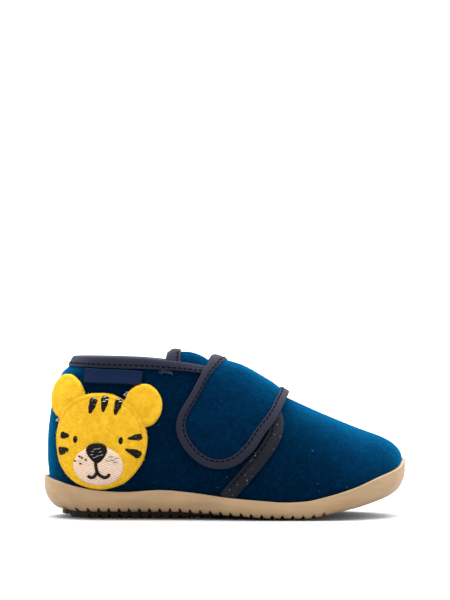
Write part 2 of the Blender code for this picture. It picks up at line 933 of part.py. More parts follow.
def build_tongue_binding(material):
    """Tape folded over the tongue's rear edge."""
    arcs = [40.0, 46.0, 58.0, 70.0, 80.0, 90.0, 100.0, 110.0, 122.0, 134.0, 140.0]
    sections = []
    for arc in arcs:
        levels = []
        for depth in (0.0, TONGUE_TAPE):
            x = TONGUE_REAR + depth
            point = tongue_surface(x, arc)
            levels.append((point, tongue_normal(x, arc)))
        (rear, out), (front, front_out) = levels
        back = np.array((-1.0, 0.0, 0.0))
        sections.append((
            front + front_out * GAP,
            front + front_out * (GAP + TAPE),
            rear + out * (GAP + TAPE),
            rear + out * (GAP + TAPE - 0.5) + back * (GAP + TAPE),
            rear - out * (TONGUE_FELT + GAP + TAPE - 0.5) + back * (GAP + TAPE),
            rear - out * (TONGUE_FELT + GAP + TAPE),
            front - front_out * (TONGUE_FELT + GAP + TAPE),
            front - front_out * (TONGUE_FELT + GAP),
            rear - out * (TONGUE_FELT + GAP) + back * GAP,
            rear + out * GAP + back * GAP,
        ))
    return sweep("tongue_binding", sections, material, False)


def place_at(x, height):
    """Station and arc of the outer side at this place seen from the side."""
    station = station_at(x, 30.0)
    arc = 30.0
    for _ in range(12):
        arc = arc_at_height(station, height)
        station = station_at(x, arc)
    return station, arc


def build_label(material):
    """Woven tab that hangs below the collar tape and stands off at its lower edge."""
    top, bottom = [], []
    for i in range(7):
        share = i / 6
        upper_row, lower_row = [], []
        for j in range(4):
            down = j / 3
            x = LABEL_REAR + (LABEL_FRONT - LABEL_REAR) * share - LABEL_SLANT * down * share
            height = RIM.at("height", x) - COLLAR_TAPE - LABEL_BELOW_TAPE - LABEL_DEPTH * down
            station, arc = place_at(x, height)
            skin = felt_surface(station, arc)
            normal = felt_normal(station, arc)
            stand = quarter_lift(skin) + GAP + LABEL_STAND * down ** 1.5
            lower_row.append(skin + normal * stand)
            upper_row.append(skin + normal * (stand + LABEL_THICK))
        top.append(upper_row)
        bottom.append(lower_row)
    return slab("label_tab", top, bottom, material)


class HeelPatch:
    """Places on the outer heel by arc length from the head's middle."""

    def __init__(self):
        self.middle = place_at(HEAD_X, HEAD_Z)

    def moved(self, place, distance, upward):
        station, arc = place
        parts = max(1, int(abs(distance) / 2.5) + 1)
        for _ in range(parts):
            _, normal, along, around = skin_frame(station, arc)
            level = np.cross(normal, np.array((0.0, 0.0, 1.0)))
            level = unit(level)
            if float(np.dot(level, along)) < 0:
                level = -level
            rise = unit(np.cross(level, normal))
            if rise[2] < 0:
                rise = -rise
            station, arc = walk(station, arc, (rise if upward else level) * distance / parts, 1)
        return station, arc

    def point(self, across, up, lift):
        """Point at this arc length along the heel and up it, lifted off the quarter's felt."""
        reach = max(across, FLAT_BEYOND)
        place = self.moved(self.moved(self.middle, up, True), reach, False)
        skin = felt_surface(*place)
        normal = felt_normal(*place)
        base = skin + normal * (quarter_lift(skin) + GAP + lift)
        if across < FLAT_BEYOND:
            level = unit(np.cross(normal, np.array((0.0, 0.0, 1.0))))
            if level[0] > 0:
                level = -level
            base = base + level * (FLAT_BEYOND - across)
        return base


def turned(radius, bearing):
    angle = math.radians(bearing)
    return radius * math.cos(angle), radius * math.sin(angle)


def head_top(share):
    """Face of the head above its back, by share of its radius."""
    if share > 0.96:
        return PATCH_FELT - 0.7
    return PATCH_FELT + HEAD_DOME * (1 - share * share)


def build_head(patch, material):
    top, bottom = [], []
    for share in HEAD_RINGS:
        upper_row, lower_row = [], []
        for spoke in range(HEAD_SPOKES + 1):
            across, up = turned(HEAD_RADIUS * share, 360.0 * (spoke % HEAD_SPOKES) / HEAD_SPOKES)
            lower_row.append(patch.point(across, up, 0.0))
            upper_row.append(patch.point(across, up, head_top(share)))
        top.append(upper_row)
        bottom.append(lower_row)
    faces = []
    quads(faces, top)
    quads(faces, bottom)
    strip(faces, top[-1], bottom[-1])
    return solid("tiger_head", faces, material)


def build_ear(patch, name, row, material):
    """Felt ear: the part of a disc that shows beyond the head's edge."""
    bearing, distance, radius = EARS.values[row]
    near = HEAD_RADIUS + GAP + 0.2
    cosine = (distance ** 2 + near ** 2 - radius ** 2) / (2 * distance * near)
    spread = min(math.degrees(math.acos(cosine)), math.degrees(math.asin(radius / distance)) - 0.2)
    top, bottom = [], []
    for i in range(EAR_SPOKES + 1):
        turn = -spread * math.cos(math.pi * i / EAR_SPOKES)
        root = radius ** 2 - (distance * math.sin(math.radians(turn))) ** 2
        far = max(near + 0.05, distance * math.cos(math.radians(turn)) + math.sqrt(max(0.0, root)))
        upper_row, lower_row = [], []
        for j in range(EAR_RINGS + 1):
            share = j / EAR_RINGS
            across, up = turned(near + (far - near) * share, bearing + turn)
            lower_row.append(patch.point(across, up, 0.0))
            upper_row.append(patch.point(across, up, EAR_FELT - (0.5 if j == EAR_RINGS else 0.0)))
        top.append(upper_row)
        bottom.append(lower_row)
    return slab(name, top, bottom, material)


def build_muzzle(patch, material):
    """Raised oval on the head."""
    top, bottom = [], []
    for share in (0.0, 0.55, 0.9, 1.0):
        upper_row, lower_row = [], []
        for spoke in range(MUZZLE_SPOKES + 1):
            angle = 2 * math.pi * (spoke % MUZZLE_SPOKES) / MUZZLE_SPOKES
            across = MUZZLE_PLACE[0] + MUZZLE_HALF[0] * share * math.cos(angle)
            up = MUZZLE_PLACE[1] + MUZZLE_HALF[1] * share * math.sin(angle)
            back = PATCH_FELT + HEAD_DOME * (1 - (math.hypot(across, up) / HEAD_RADIUS) ** 2) + GAP
            lower_row.append(patch.point(across, up, back))
            upper_row.append(patch.point(across, up, back + MUZZLE_THICK - (0.3 if share == 1.0 else 0.0)))
        top.append(upper_row)
        bottom.append(lower_row)
    faces = []
    quads(faces, top)
    quads(faces, bottom)
    strip(faces, top[-1], bottom[-1])
    return solid("muzzle", faces, material)


def main():
    for thing in list(bpy.data.objects):
        bpy.data.objects.remove(thing)
    felt = principled("felt_blue", (0.012, 0.085, 0.19), 0.95)
    gum = principled("rubber_gum", (0.50, 0.33, 0.19), 0.55)
    lining = principled("felt_lining", (0.02, 0.09, 0.17), 0.95)
    tape = principled("tape_slate", (0.048, 0.046, 0.075), 0.85)
    ribbon = principled("ribbon_navy", (0.02, 0.03, 0.07), 0.7)
    yellow = principled("felt_yellow", (0.83, 0.50, 0.025), 0.95)
    thread = principled("thread_pale", (0.80, 0.58, 0.45), 0.8)
    build_sole(gum)
    build_upper(felt)
    build_insole(lining)
    build_tongue(felt)
    build_tongue_binding(tape)
    build_collar_binding(tape)
    build_front_binding("front_binding_lateral", -1, tape)
    build_front_binding("front_binding_medial", 1, tape)
    outline = strap_outline()
    build_strap(outline, felt)
    build_strap_binding(outline, tape)
    build_label(ribbon)
    patch = HeelPatch()
    build_head(patch, yellow)
    for row, name in enumerate(EAR_NAMES):
        build_ear(patch, name, row, yellow)
    build_muzzle(patch, thread)


main()
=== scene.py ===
"""Looks of a child's felt strap slipper on a gum rubber sole.

Felt, nap, tape, stitching, embroidery and light are laid over the frame's solids. The last's functions
repeat the part's own sizes in millimetres; MM turns them into metres when a mesh is made.
"""

import math

import bpy
import numpy as np
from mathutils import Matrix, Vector
from mathutils.bvhtree import BVHTree


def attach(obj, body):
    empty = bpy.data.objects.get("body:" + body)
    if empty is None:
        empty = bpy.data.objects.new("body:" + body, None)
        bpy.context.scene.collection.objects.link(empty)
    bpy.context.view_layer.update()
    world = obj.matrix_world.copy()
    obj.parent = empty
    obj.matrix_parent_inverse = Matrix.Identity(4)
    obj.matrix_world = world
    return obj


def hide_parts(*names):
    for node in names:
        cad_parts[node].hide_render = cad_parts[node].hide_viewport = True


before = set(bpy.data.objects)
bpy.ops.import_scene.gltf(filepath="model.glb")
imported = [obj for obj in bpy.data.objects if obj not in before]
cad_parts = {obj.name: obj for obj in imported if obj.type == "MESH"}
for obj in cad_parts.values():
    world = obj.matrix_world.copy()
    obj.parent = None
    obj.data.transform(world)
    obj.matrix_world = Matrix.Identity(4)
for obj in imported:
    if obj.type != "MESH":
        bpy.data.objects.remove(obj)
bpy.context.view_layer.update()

# Sizes that the part has too
MM = 0.001
LIP = 2.0
GAP = 0.3
WALL = 2.2
QUARTER_STEP = 0.9
TAPE = 0.6
STRAP_EDGE_FELT = 1.0
PATCH_FELT = 2.2
LAST_END = 79.7
HEEL_ROUND = 21.0
TOE_ROUND = 36.0
TOE_SQUARE = 2.3
CAP_ROUND = 12.0
CAP_SQUARE = 4.5
SIDE_BULGE = 0.035
FLANK = 2.3
TONGUE_FLANK = 1.75
RIDGE = 2.1
QUARTER_LINES = 18
COLLAR_LAST_LINE = 16
COLLAR_TAPE = 4.2
FRONT_TAPE = 5.4
FRONT_TAPE_LOW = 5.0
FRONT_TAPE_TOP = 66.0
TONGUE_TAPE = 6.4
TONGUE_REAR = -26.4
STRAP_TAPE = 4.2
STRAP_TIP = 14.3
STRAP_ROUND_FROM = 31.0
STRAP_SEWN_END = 25.0
STRAP_SEWN_FROM = 42.0
STRAP_SEWN_SQUARE = 0.8
STRAP_LIFT_SIDE = 2.2
STRAP_LIFT_RIDGE = 1.3
STRAP_LIFT_FLAT = 2.0
STRAP_LIFT_FADE = 12.0
QUARTER_START = 0.2
QUARTER_FADE = 6.0
TONGUE_ROOM = 0.2
TREAD_FLAT = 0.55
TREAD_STEP = 0.09
ROUND_PART = 0.75
ROUND_POWER = 0.6
GROOVE_START = -70.0
GROOVE_END = 45.0
GROOVE_PITCH = 4.55
GROOVE_WIDTH = 1.8
GROOVE_ROOT = 0.5
GROOVE_DEPTH = 1.5
HEAD_X = -56.2
HEAD_Z = 35.0
HEAD_RADIUS = 21.5
HEAD_DOME = 0.6
EARS = {
    "ear_front": ((19.6, 16.0), (8.3, 9.7)),
    "ear_back": ((-16.4, 19.4), (9.9, 10.0)),
}
FLAT_BEYOND = -18.0
FLAT_FROM = -17.5
NARROW_BACK = 0.93

# Reading the last: the station taken as its tip, small steps, and an inner place that faces look away from
TIP_STATION = 0.9995
TIP_OUT = (0.96, 0.0, 0.28)
STATION_NEAR = 0.002
ARC_NEAR = 0.4
ARC_STEP = 0.5
INSIDE_PART = 0.8
INSIDE_HEIGHT = 20.0

# Rounding of the solids: subdivision levels, and how crisp the rims of felt and tape stay
ROUNDING = 2
SHARP_FROM = 48
FELT_EDGE = 0.5
TAPE_EDGE = 0.85
STRAP_TAPE_EDGE = 0.8
TONGUE_TAPE_EDGE = 0.6

# Sole: places up its wall, over its lip (outward past the lip's skin, height) and across the tread
SOLE_STATIONS = 96
WALL_SHARES = (0.0, 0.05, 0.12, 0.22, 0.34, 0.48, 0.64, 0.8, 0.95, 0.992)
LIP_TOP = ((LIP - 0.25, 0.08), (0.9, 0.12), (0.3, 0.0), (0.0, -0.4))
TREAD_ACROSS = (-0.97, -0.8, -0.64, -0.55, -0.2, 0.2, 0.55, 0.64, 0.8, 0.97)
SOLE_SHARP = 38
# Painted shade: how dark the tread's underside and the groove roots are painted, standing in for the shade
# under the sole
PAINTED_SHADE = 0.95
# Painted shade along the seam where the felt meets the lip: the row it centres on, and how dark the rows
# round it are painted
LIP_ROW = 10
LIP_PAINTED_SHADE = (0.0, 0.3, 0.75, PAINTED_SHADE)
# Painted shade over the sole's toe: its strength, and the place from which it starts
TOE_PAINTED_SHADE = 0.2
TOE_PAINTED_SHADE_FROM = 35.0

# How the soft pieces bend away from their solids; a span is where a change starts and how far it takes
TOE_FULL = 1.3
TOE_SPAN = (58.0, 20.0)
TOE_HEIGHT_SPAN = (16.0, 8.0)
COLLAR_NUDGE = 1.8
COLLAR_BACK_SPAN = (-56.0, -12.0)
COLLAR_HEIGHT_SPAN = (65.6, 2.6)
COLLAR_RISE = 1.2
COLLAR_RISE_SPAN = (-44.0, 26.0)
COLLAR_FALL_SPAN = (9.0, -9.0)
COLLAR_RIM_SPAN = (9.0, -6.0)
COLLAR_NARROW = 0.32
COLLAR_NARROW_SPAN = (-46.0, 30.0)
STRAP_DRAW_REACH = 14.0
TONGUE_SLOPE = 1.3
TONGUE_DROP = 0.2
TONGUE_CROWN = 0.8
CROWN_SCALE = 6.75
TONGUE_TOP_SPAN = (66.5, 8.5)
TONGUE_BACK_SPAN = (-19.5, -7.0)
TONGUE_SWELL = 0.7
TONGUE_SWELL_SPAN = (-19.0, 9.0)
TONGUE_SINK_SPAN = (-3.0, -4.0)
TONGUE_SWELL_HEIGHT = (58.0, 10.0)
FRONT_PULL = (2.8, 0.0, 3.4)
FRONT_PULL_REACH = 7.0
LABEL_HANG = 1.15

# Painted shade on the felt: how dark it is painted over the quarters, the vamp and the strap
SHADE_EDGE = 3.0
SHADE_RIDGE = 14.0
SHADE_CROWN = 0.3
SHADE_SIDE = 0.65
SHADE_TOE = 68.0
SHADE_FADE = 34.0
STRAP_PAINTED_SHADE = 0.5

# Seams: pitch, lift off the felt under the tape, unevenness, and their place as a share of each tape's width
SEAM_PITCH = 2.4
SEAM_LIFT = GAP + TAPE + 0.02
SEAM_UNEVEN = 0.12
COLLAR_SEAM_AT = 0.66
STRAP_SEAM_AT = 0.8
FRONT_SEAM_AT = 0.72
FRONT_SEAM_CLEAR = 0.4
FRONT_STEPS = 28
TONGUE_SEAM_AT = 0.75
TONGUE_SEAM_FROM = (41.0, 101.0)

# Head and ears: the sewn furrow and the rolled rim, as shares of the radius and depths
FURROW_AT = 0.905
FURROW_WIDTH = 0.024
FURROW_DEPTH = 0.36
HEAD_ROLL_FROM = 0.93
HEAD_ROLL = 1.5
EAR_ROLL_FROM = 0.88
EAR_ROLL = 1.4
ROLL_POWER = 2.2
EAR_DOME = 0.5
EAR_HOLLOW = 0.3
DISC_SHARES = (0.0, 0.12, 0.25, 0.38, 0.5, 0.62, 0.72, 0.8, 0.85, 0.88, 0.905, 0.93, 0.955, 0.975, 0.99, 1.0)
DISC_SPOKES = 84
PATCH_SHARES = (0.0, 0.35, 0.65, 0.88, 1.0)
PATCH_SPOKES = 40
PATCH_SINK = 0.35

# Embroidery on the head, in millimetres across and up from its middle
STRIPES = (
    ("brow_stripe_back", (-1.9, 19.3), (-4.0, 12.2), 4.2, 1.7),
    ("brow_stripe_middle", (2.9, 20.1), (1.8, 12.9), 4.2, 1.6),
    ("brow_stripe_front", (9.3, 18.9), (7.1, 11.6), 4.2, 1.7),
    ("cheek_stripe_front_high", (19.5, 2.2), (12.8, 1.2), 3.9, 1.0),
    ("cheek_stripe_front_low", (19.0, -6.2), (11.9, -3.4), 4.8, 1.2),
    ("cheek_stripe_back_high", (-17.6, 2.6), (-12.9, 2.3), 3.7, 1.6),
    ("cheek_stripe_back_low", (-19.0, -4.7), (-13.2, -3.7), 4.8, 1.8),
)
MOUTH_PITCH = 0.6
MOUTH = (
    (1.0, ((-1.3, -9.0), (-1.1, -11.2), (-0.6, -13.4))),
    (0.95, ((-0.6, -13.2), (-1.2, -14.6), (-2.2, -15.7), (-3.4, -15.9), (-4.4, -15.3))),
    (0.95, ((-0.6, -13.2), (0.7, -15.0), (2.6, -16.0), (4.0, -15.6), (4.9, -14.6))),
)
LOOSE_THREADS = (
    ("whisker_dots", "black", 0.98, -0.5, (1.2, 0.75, 0.4),
     ((-9.9, -8.6), (-7.6, -9.8), (-8.0, -6.6), (-5.4, -8.1), (-7.0, -7.2))),
    ("whisker_threads", "brown", 0.98, 0.1, (1.9, 0.42, 0.35),
     ((4.1, -8.5), (6.4, -8.2), (8.4, -7.4), (5.6, -6.7), (7.6, -9.2))),
    ("nose_threads", "grey", 1.42, 0.25, (1.6, 0.22, 0.24),
     ((-2.6, -4.4), (-1.4, -3.4), (0.3, -3.2), (0.9, -4.6), (-3.0, -5.8), (1.5, -6.0), (-1.8, -7.0),
      (-0.2, -6.4))),
    ("brow_threads", "white", 0.36, 0.15, (1.6, 0.26, 0.26),
     ((2.6, 19.6), (3.4, 18.4), (2.3, 17.6), (8.7, 18.6), (9.6, 17.6), (-2.0, 19.0))),
)

# Loose wisps: where they lie, and each strand's place and turn
EAR_TUFT_SPOTS = ((12.2, 20.9), (-20.2, 9.2))
EAR_TUFT = ((-0.5, 0.4, 1.2), (0.1, 0.9, 1.7), (0.3, 0.1, 0.8), (-0.9, -0.4, 2.3), (0.6, 0.7, 1.4),
            (-0.2, -0.6, 0.2), (-1.2, -0.1, 1.0))
LINT_SPOT = (-26.6, 65.4)
LINT_STRANDS = ((-2.4, 0.3, 0.2), (-1.5, 0.8, 0.5), (-0.8, 0.1, 2.8), (0.2, 0.6, 0.1), (0.9, -0.2, 2.4),
                (1.8, 0.2, 2.9), (2.5, -0.6, 2.2), (-1.9, -0.4, 0.9))

# Creases: points, width and depth in millimetres; a negative depth is a ridge
UPPER_CREASES = (
    (((34.0, -26.0, 30.0), (40.0, -20.0, 39.0), (43.0, -8.0, 44.0)), 5.0, 0.35),
    (((-8.0, -22.0, 60.0), (-14.0, -24.0, 46.0), (-12.0, -25.0, 32.0)), 6.0, 0.3),
    (((-34.0, 21.0, 62.0), (-30.0, 21.0, 46.0), (-22.0, 20.0, 30.0)), 6.0, 0.35),
    (((-6.0, 19.0, 26.0), (2.0, 22.0, 24.0), (12.0, 24.0, 19.0)), 5.0, 0.3),
    (((30.0, 25.0, 32.0), (38.0, 20.0, 40.0), (42.0, 8.0, 44.5)), 5.0, 0.35),
    (((56.0, -22.0, 27.0), (64.0, -14.0, 33.0), (68.0, 2.0, 36.0)), 6.0, 0.25),
)
STRAP_CREASES = (
    (((-8.0, -27.0, 40.0), (6.0, -25.0, 44.0), (16.0, -22.0, 46.0)), 7.0, -0.25),
    (((14.0, -20.0, 56.0), (18.0, -6.0, 63.0), (19.0, 6.0, 63.0)), 4.0, 0.25),
)
STRAP_HUMP = (
    (((-7.0, -16.0, 66.0), (-5.0, -6.0, 70.5), (-5.0, 6.0, 70.5), (-7.0, 14.0, 66.0)), 6.0, -1.1),
)

# Nap: fibre widths in millimetres, and how near a cover, in metres, leaves a fibre out
BLUE_FIBRE = 0.055
YELLOW_FIBRE = 0.06
COVER_NEAR = 0.0009
COVER_ABOVE = 0.005

# Studio
FLOOR_SIZE = 30.0
FLOOR_GREY = 0.42
WORLD_LIGHT = 1.02
CAMERA_LENS = 171.7
CAMERA_SENSOR = 36.0
CAMERA_PLACE = (0.0, -1.3, 0.098)


class Rows:
    """A short table with named columns, read between its rows by a curve that never overshoots."""

    def __init__(self, columns, *rows):
        self.columns = columns
        self.values = np.array(rows, dtype=float)
        self.curves = {}

    def curve(self, column):
        if column not in self.curves:
            x = self.values[:, 0]
            y = self.values[:, self.columns.index(column)]
            steps = np.diff(y) / np.diff(x)
            slopes = np.concatenate((steps[:1], np.zeros(len(x) - 2), steps[-1:]))
            for i in range(1, len(x) - 1):
                if steps[i - 1] * steps[i] > 0:
                    slopes[i] = 2 * steps[i - 1] * steps[i] / (steps[i - 1] + steps[i])
            self.curves[column] = (x.tolist(), y.tolist(), slopes.tolist())
        return self.curves[column]

    def all_at(self, column, places):
        return np.array([self.at(column, place) for place in places])

    def at(self, column, place):
        x, y, slopes = self.curve(column)
        if place <= x[0]:
            return y[0]
        if place >= x[-1]:
            return y[-1]
        i = 0
        while x[i + 1] < place:
            i += 1
        width = x[i + 1] - x[i]
        u = (place - x[i]) / width
        v = 1 - u
        return (y[i] * (1 + 2 * u) * v * v + slopes[i] * width * u * v * v
                + y[i + 1] * u * u * (3 - 2 * u) - slopes[i + 1] * width * u * u * v)


LAST = Rows(
    ("x", "middle", "half", "ridge"),
    (-79.7, -0.6, 22.2, 112.0),
    (-54.0, -1.1, 22.4, 107.0),
    (-37.0, -2.1, 22.2, 98.0),
    (-25.0, -2.9, 22.0, 87.0),
    (-16.0, -2.9, 22.8, 76.5),
    (-10.0, -2.8, 23.5, 71.2),
    (-5.0, -2.6, 24.4, 69.0),
    (1.0, -2.1, 25.8, 67.4),
    (7.5, -1.7, 27.4, 64.7),
    (13.0, -1.4, 28.6, 61.8),
    (22.0, -0.9, 29.8, 56.8),
    (29.0, -0.5, 30.3, 53.4),
    (39.0, -0.1, 30.6, 48.9),
    (52.0, 0.8, 30.4, 43.3),
    (61.0, 1.6, 29.6, 39.7),
    (70.0, 2.3, 28.8, 36.6),
    (79.7, 2.8, 28.2, 34.0),
)
HEEL_CURVE = Rows(
    ("height", "lean"),
    (20.0, 0.0),
    (36.0, 0.1),
    (50.0, 1.8),
    (60.0, 4.3),
    (66.0, 7.2),
    (70.0, 9.4),
    (73.0, 10.5),
    (76.0, 11.2),
    (90.0, 13.0),
)
RIM = Rows(
    ("x", "height"),
    (-72.0, 71.6),
    (-48.0, 71.4),
    (-41.0, 71.0),
    (-26.0, 69.0),
    (-6.0, 65.2),
    (6.0, 62.0),
    (14.0, 59.5),
    (19.5, 58.2),
)
QUARTER_EDGE = Rows(
    ("height", "x"),
    (4.0, 3.4),
    (10.0, 3.6),
    (12.0, 5.2),
    (21.5, 13.4),
    (30.0, 20.2),
    (38.0, 24.6),
    (43.0, 25.2),
    (48.0, 23.6),
    (53.0, 21.0),
    (58.5, 18.5),
)
TREAD = Rows(
    ("x", "middle", "edge"),
    (-82.0, 2.6, 1.2),
    (-73.0, 1.5, 2.1),
    (-66.0, 0.5, 3.0),
    (-60.0, 0.0, 3.5),
    (-22.0, 0.0, 3.5),
    (-11.0, 0.8, 2.0),
    (6.0, 0.0, 1.7),
    (16.0, 0.0, 1.0),
    (34.0, 0.0, 0.7),
    (41.0, 0.7, 0.7),
    (48.4, 2.4, 0.8),
    (56.6, 4.0, 0.8),
    (64.7, 6.1, 0.8),
    (72.9, 8.8, 0.8),
    (82.0, 13.0, 0.8),
)
FOOTBED = Rows(
    ("x", "height"),
    (-82.0, 13.2),
    (-76.0, 11.4),
    (-70.0, 10.0),
    (-62.0, 8.7),
    (-48.0, 7.8),
    (-19.0, 6.8),
    (4.0, 5.4),
    (18.0, 4.8),
    (34.0, 4.9),
    (43.0, 6.4),
    (54.0, 9.0),
    (65.0, 12.3),
    (73.0, 15.3),
    (82.0, 19.0),
)
SOLE_LIP = Rows(
    ("x", "height"),
    (-82.0, 19.2),
    (-74.0, 17.0),
    (-66.0, 14.8),
    (-55.0, 12.9),
    (-44.0, 12.4),
    (-29.0, 13.3),
    (-14.0, 12.1),
    (2.0, 10.0),
    (16.0, 8.8),
    (27.0, 8.1),
    (36.0, 8.6),
    (43.0, 10.1),
    (56.6, 14.2),
    (67.5, 18.7),
    (75.4, 21.7),
    (77.4, 22.9),
    (79.7, 26.0),
)
SOLE_TUCK = Rows(
    ("x", "depth"),
    (-80.0, 8.2),
    (-70.0, 6.2),
    (-55.0, 4.4),
    (60.0, 4.0),
    (74.0, 4.6),
    (80.0, 5.5),
)
TONGUE = Rows(
    ("x", "ridge"),
    (-27.0, 74.6),
    (-18.0, 75.3),
    (-12.0, 73.5),
    (-8.0, 71.0),
    (-4.0, 68.0),
    (6.0, 61.6),
    (16.0, 56.2),
    (34.0, 47.2),
)
STRAP = Rows(
    ("arc", "middle", "half"),
    (14.3, -4.5, 18.6),
    (21.0, -5.4, 18.6),
    (31.0, -3.2, 18.6),
    (43.0, 1.3, 19.3),
    (53.0, 3.9, 19.8),
    (61.5, 5.6, 19.5),
    (70.0, 7.7, 18.8),
    (90.0, 11.0, 17.0),
)
STRAP_DRAW = Rows(
    ("height", "edge", "shift"),
    (38.0, -22.0, 0.0),
    (46.0, -20.0, 0.5),
    (53.5, -17.6, 1.1),
    (59.4, -15.9, 1.5),
    (64.2, -13.9, 1.7),
    (68.0, -11.1, 0.9),
    (70.5, -9.0, 0.0),
    (74.5, -6.0, -1.6),
)


def unit(vector):
    return vector / np.linalg.norm(vector)


def solve(low, high, function):
    """Place between low and high where function turns from negative to positive."""
    for _ in range(40):
        middle = (low + high) / 2
        if function(middle) > 0:
            high = middle
        else:
            low = middle
    return (low + high) / 2


def clamp(value):
    return min(1.0, max(0.0, value))


def share_from(values, start, span):
    """How far these values lie past start, as shares of span from 0 to 1."""
    return np.clip((values - start) / span, 0.0, 1.0)


def smooth(value):
    value = clamp(value)
    return value * value * (3 - 2 * value)


def turned(vector, axis, sign=1):
    """The vector, or its opposite, that points this way along an axis."""
    return vector if vector[axis] * sign > 0 else -vector


def mirrored(arc, side):
    return arc if side < 0 else 180.0 - arc


def half_width(x):
    heel = clamp((x + LAST_END) / HEEL_ROUND)
    toe = clamp((LAST_END - x) / TOE_ROUND)
    return LAST.at("half", x) * math.sqrt(1 - (1 - heel) ** 2) * math.sqrt(1 - (1 - toe) ** TOE_SQUARE)


def arch(x, arc, half, ridge, flank, lean_from):
    """A point of the arch that stands on the section at x."""
    side = -1.0 if arc <= 90.0 else 1.0
    angle = math.radians(min(arc, 180.0 - arc))
    foot = FOOTBED.at("height", x) + GAP
    up = max(0.0, math.sin(angle)) ** (2 / RIDGE)
    out = 0.0 if arc == 90.0 else max(0.0, math.cos(angle)) ** (2 / flank)
    height = foot + (ridge - foot) * up
    lean = HEEL_CURVE.at("lean", height) * ((LAST_END - x) / (2 * LAST_END)) ** 2 * lean_from
    swell = 1 + SIDE_BULGE * 4 * up * (1 - up)
    return np.array((x + lean, LAST.at("middle", x) + side * half * out * swell, height))


def felt_surface(station, arc):
    """Outer felt of the vamp; the quarters lie a step above it."""
    x = -LAST_END * math.cos(math.pi * station)
    foot = FOOTBED.at("height", x) + GAP
    cap = clamp((LAST_END - x) / CAP_ROUND)
    ridge = foot + (LAST.at("ridge", x) - foot) * (1 - (1 - cap) ** 2) ** (1 / CAP_SQUARE)
    return arch(x, arc, half_width(x), ridge, FLANK, 1.0)


def felt_normal(station, arc):
    """Outward direction of felt_surface."""
    if station > TIP_STATION:
        return np.array(TIP_OUT)
    forward = (felt_surface(min(1.0, station + STATION_NEAR), arc)
               - felt_surface(max(0.0, station - STATION_NEAR), arc))
    if station < STATION_NEAR / 2:
        forward = np.array((0.0, -1.0 if arc <= 90.0 else 1.0, 0.0))
    around = (felt_surface(station, min(180.0, arc + ARC_NEAR))
              - felt_surface(station, max(0.0, arc - ARC_NEAR)))
    normal = unit(np.cross(forward, around))
    x = -LAST_END * math.cos(math.pi * station)
    outside = felt_surface(station, arc) - np.array((x * INSIDE_PART, 0.0, INSIDE_HEIGHT))
    return normal if float(np.dot(normal, outside)) > 0 else -normal


def felt_at(station, arc):
    """A place on the felt and its outward direction."""
    return felt_surface(station, arc), felt_normal(station, arc)


def quarter_lift(point):
    """Thickness that the quarter adds: none at the sole's lip, full a little above it."""
    above = point[2] - SOLE_LIP.at("height", point[0]) - QUARTER_START
    return QUARTER_STEP * clamp(above / QUARTER_FADE)


def edge_station(arc):
    """Station of the quarter's front edge on this arc."""
    def ahead(station):
        point = felt_surface(station, arc)
        return point[0] - QUARTER_EDGE.at("x", point[2])
    return solve(0.2, 0.8, ahead)


def line_station(line, arc):
    return edge_station(arc) * line / QUARTER_LINES


def rim_arc(line):
    """Arc at which a quarter line meets the rim."""
    def above(arc):
        point = felt_surface(line_station(line, arc), arc)
        return point[2] - RIM.at("height", point[0])
    return solve(5.0, 90.0, above)


def walk(station, arc, step, parts):
    """Station and arc reached from a place by moving along the felt by this vector."""
    reach = STATION_NEAR / 2
    turn = ARC_NEAR / 2
    for _ in range(parts):
        along = (felt_surface(station + reach, arc) - felt_surface(station - reach, arc)) / STATION_NEAR
        around = (felt_surface(station, arc + turn) - felt_surface(station, arc - turn)) / ARC_NEAR
        change = np.linalg.lstsq(np.array((along, around)).T, step / parts, rcond=None)[0]
        station = min(0.999, max(0.004, station + float(change[0])))
        arc = min(178.0, max(1.0, arc + float(change[1])))
    return station, arc


def place_at(x, height):
    """Station and arc of the outer side at this place seen from the side."""
    station, arc = 0.3, 30.0
    for _ in range(10):
        arc = solve(0.0, 89.0, lambda a: felt_surface(station, a)[2] - height)
        station = solve(0.0, 1.0, lambda s: felt_surface(s, arc)[0] - x)
    return station, arc


def tongue_point(x, arc, lift):
    """A place on the tongue, lifted off its outer face."""
    inset = WALL + TAPE + 2 * GAP + TONGUE_ROOM

    def surface(x, arc):
        return arch(x, arc, half_width(x) - inset, TONGUE.at("ridge", x), TONGUE_FLANK, 0.0)

    forward = surface(x + 0.3, arc) - surface(x - 0.3, arc)
    around = surface(x, arc + 0.5) - surface(x, arc - 0.5)
    normal = turned(unit(np.cross(around, forward)), 2)
    return surface(x, arc) + normal * lift, normal


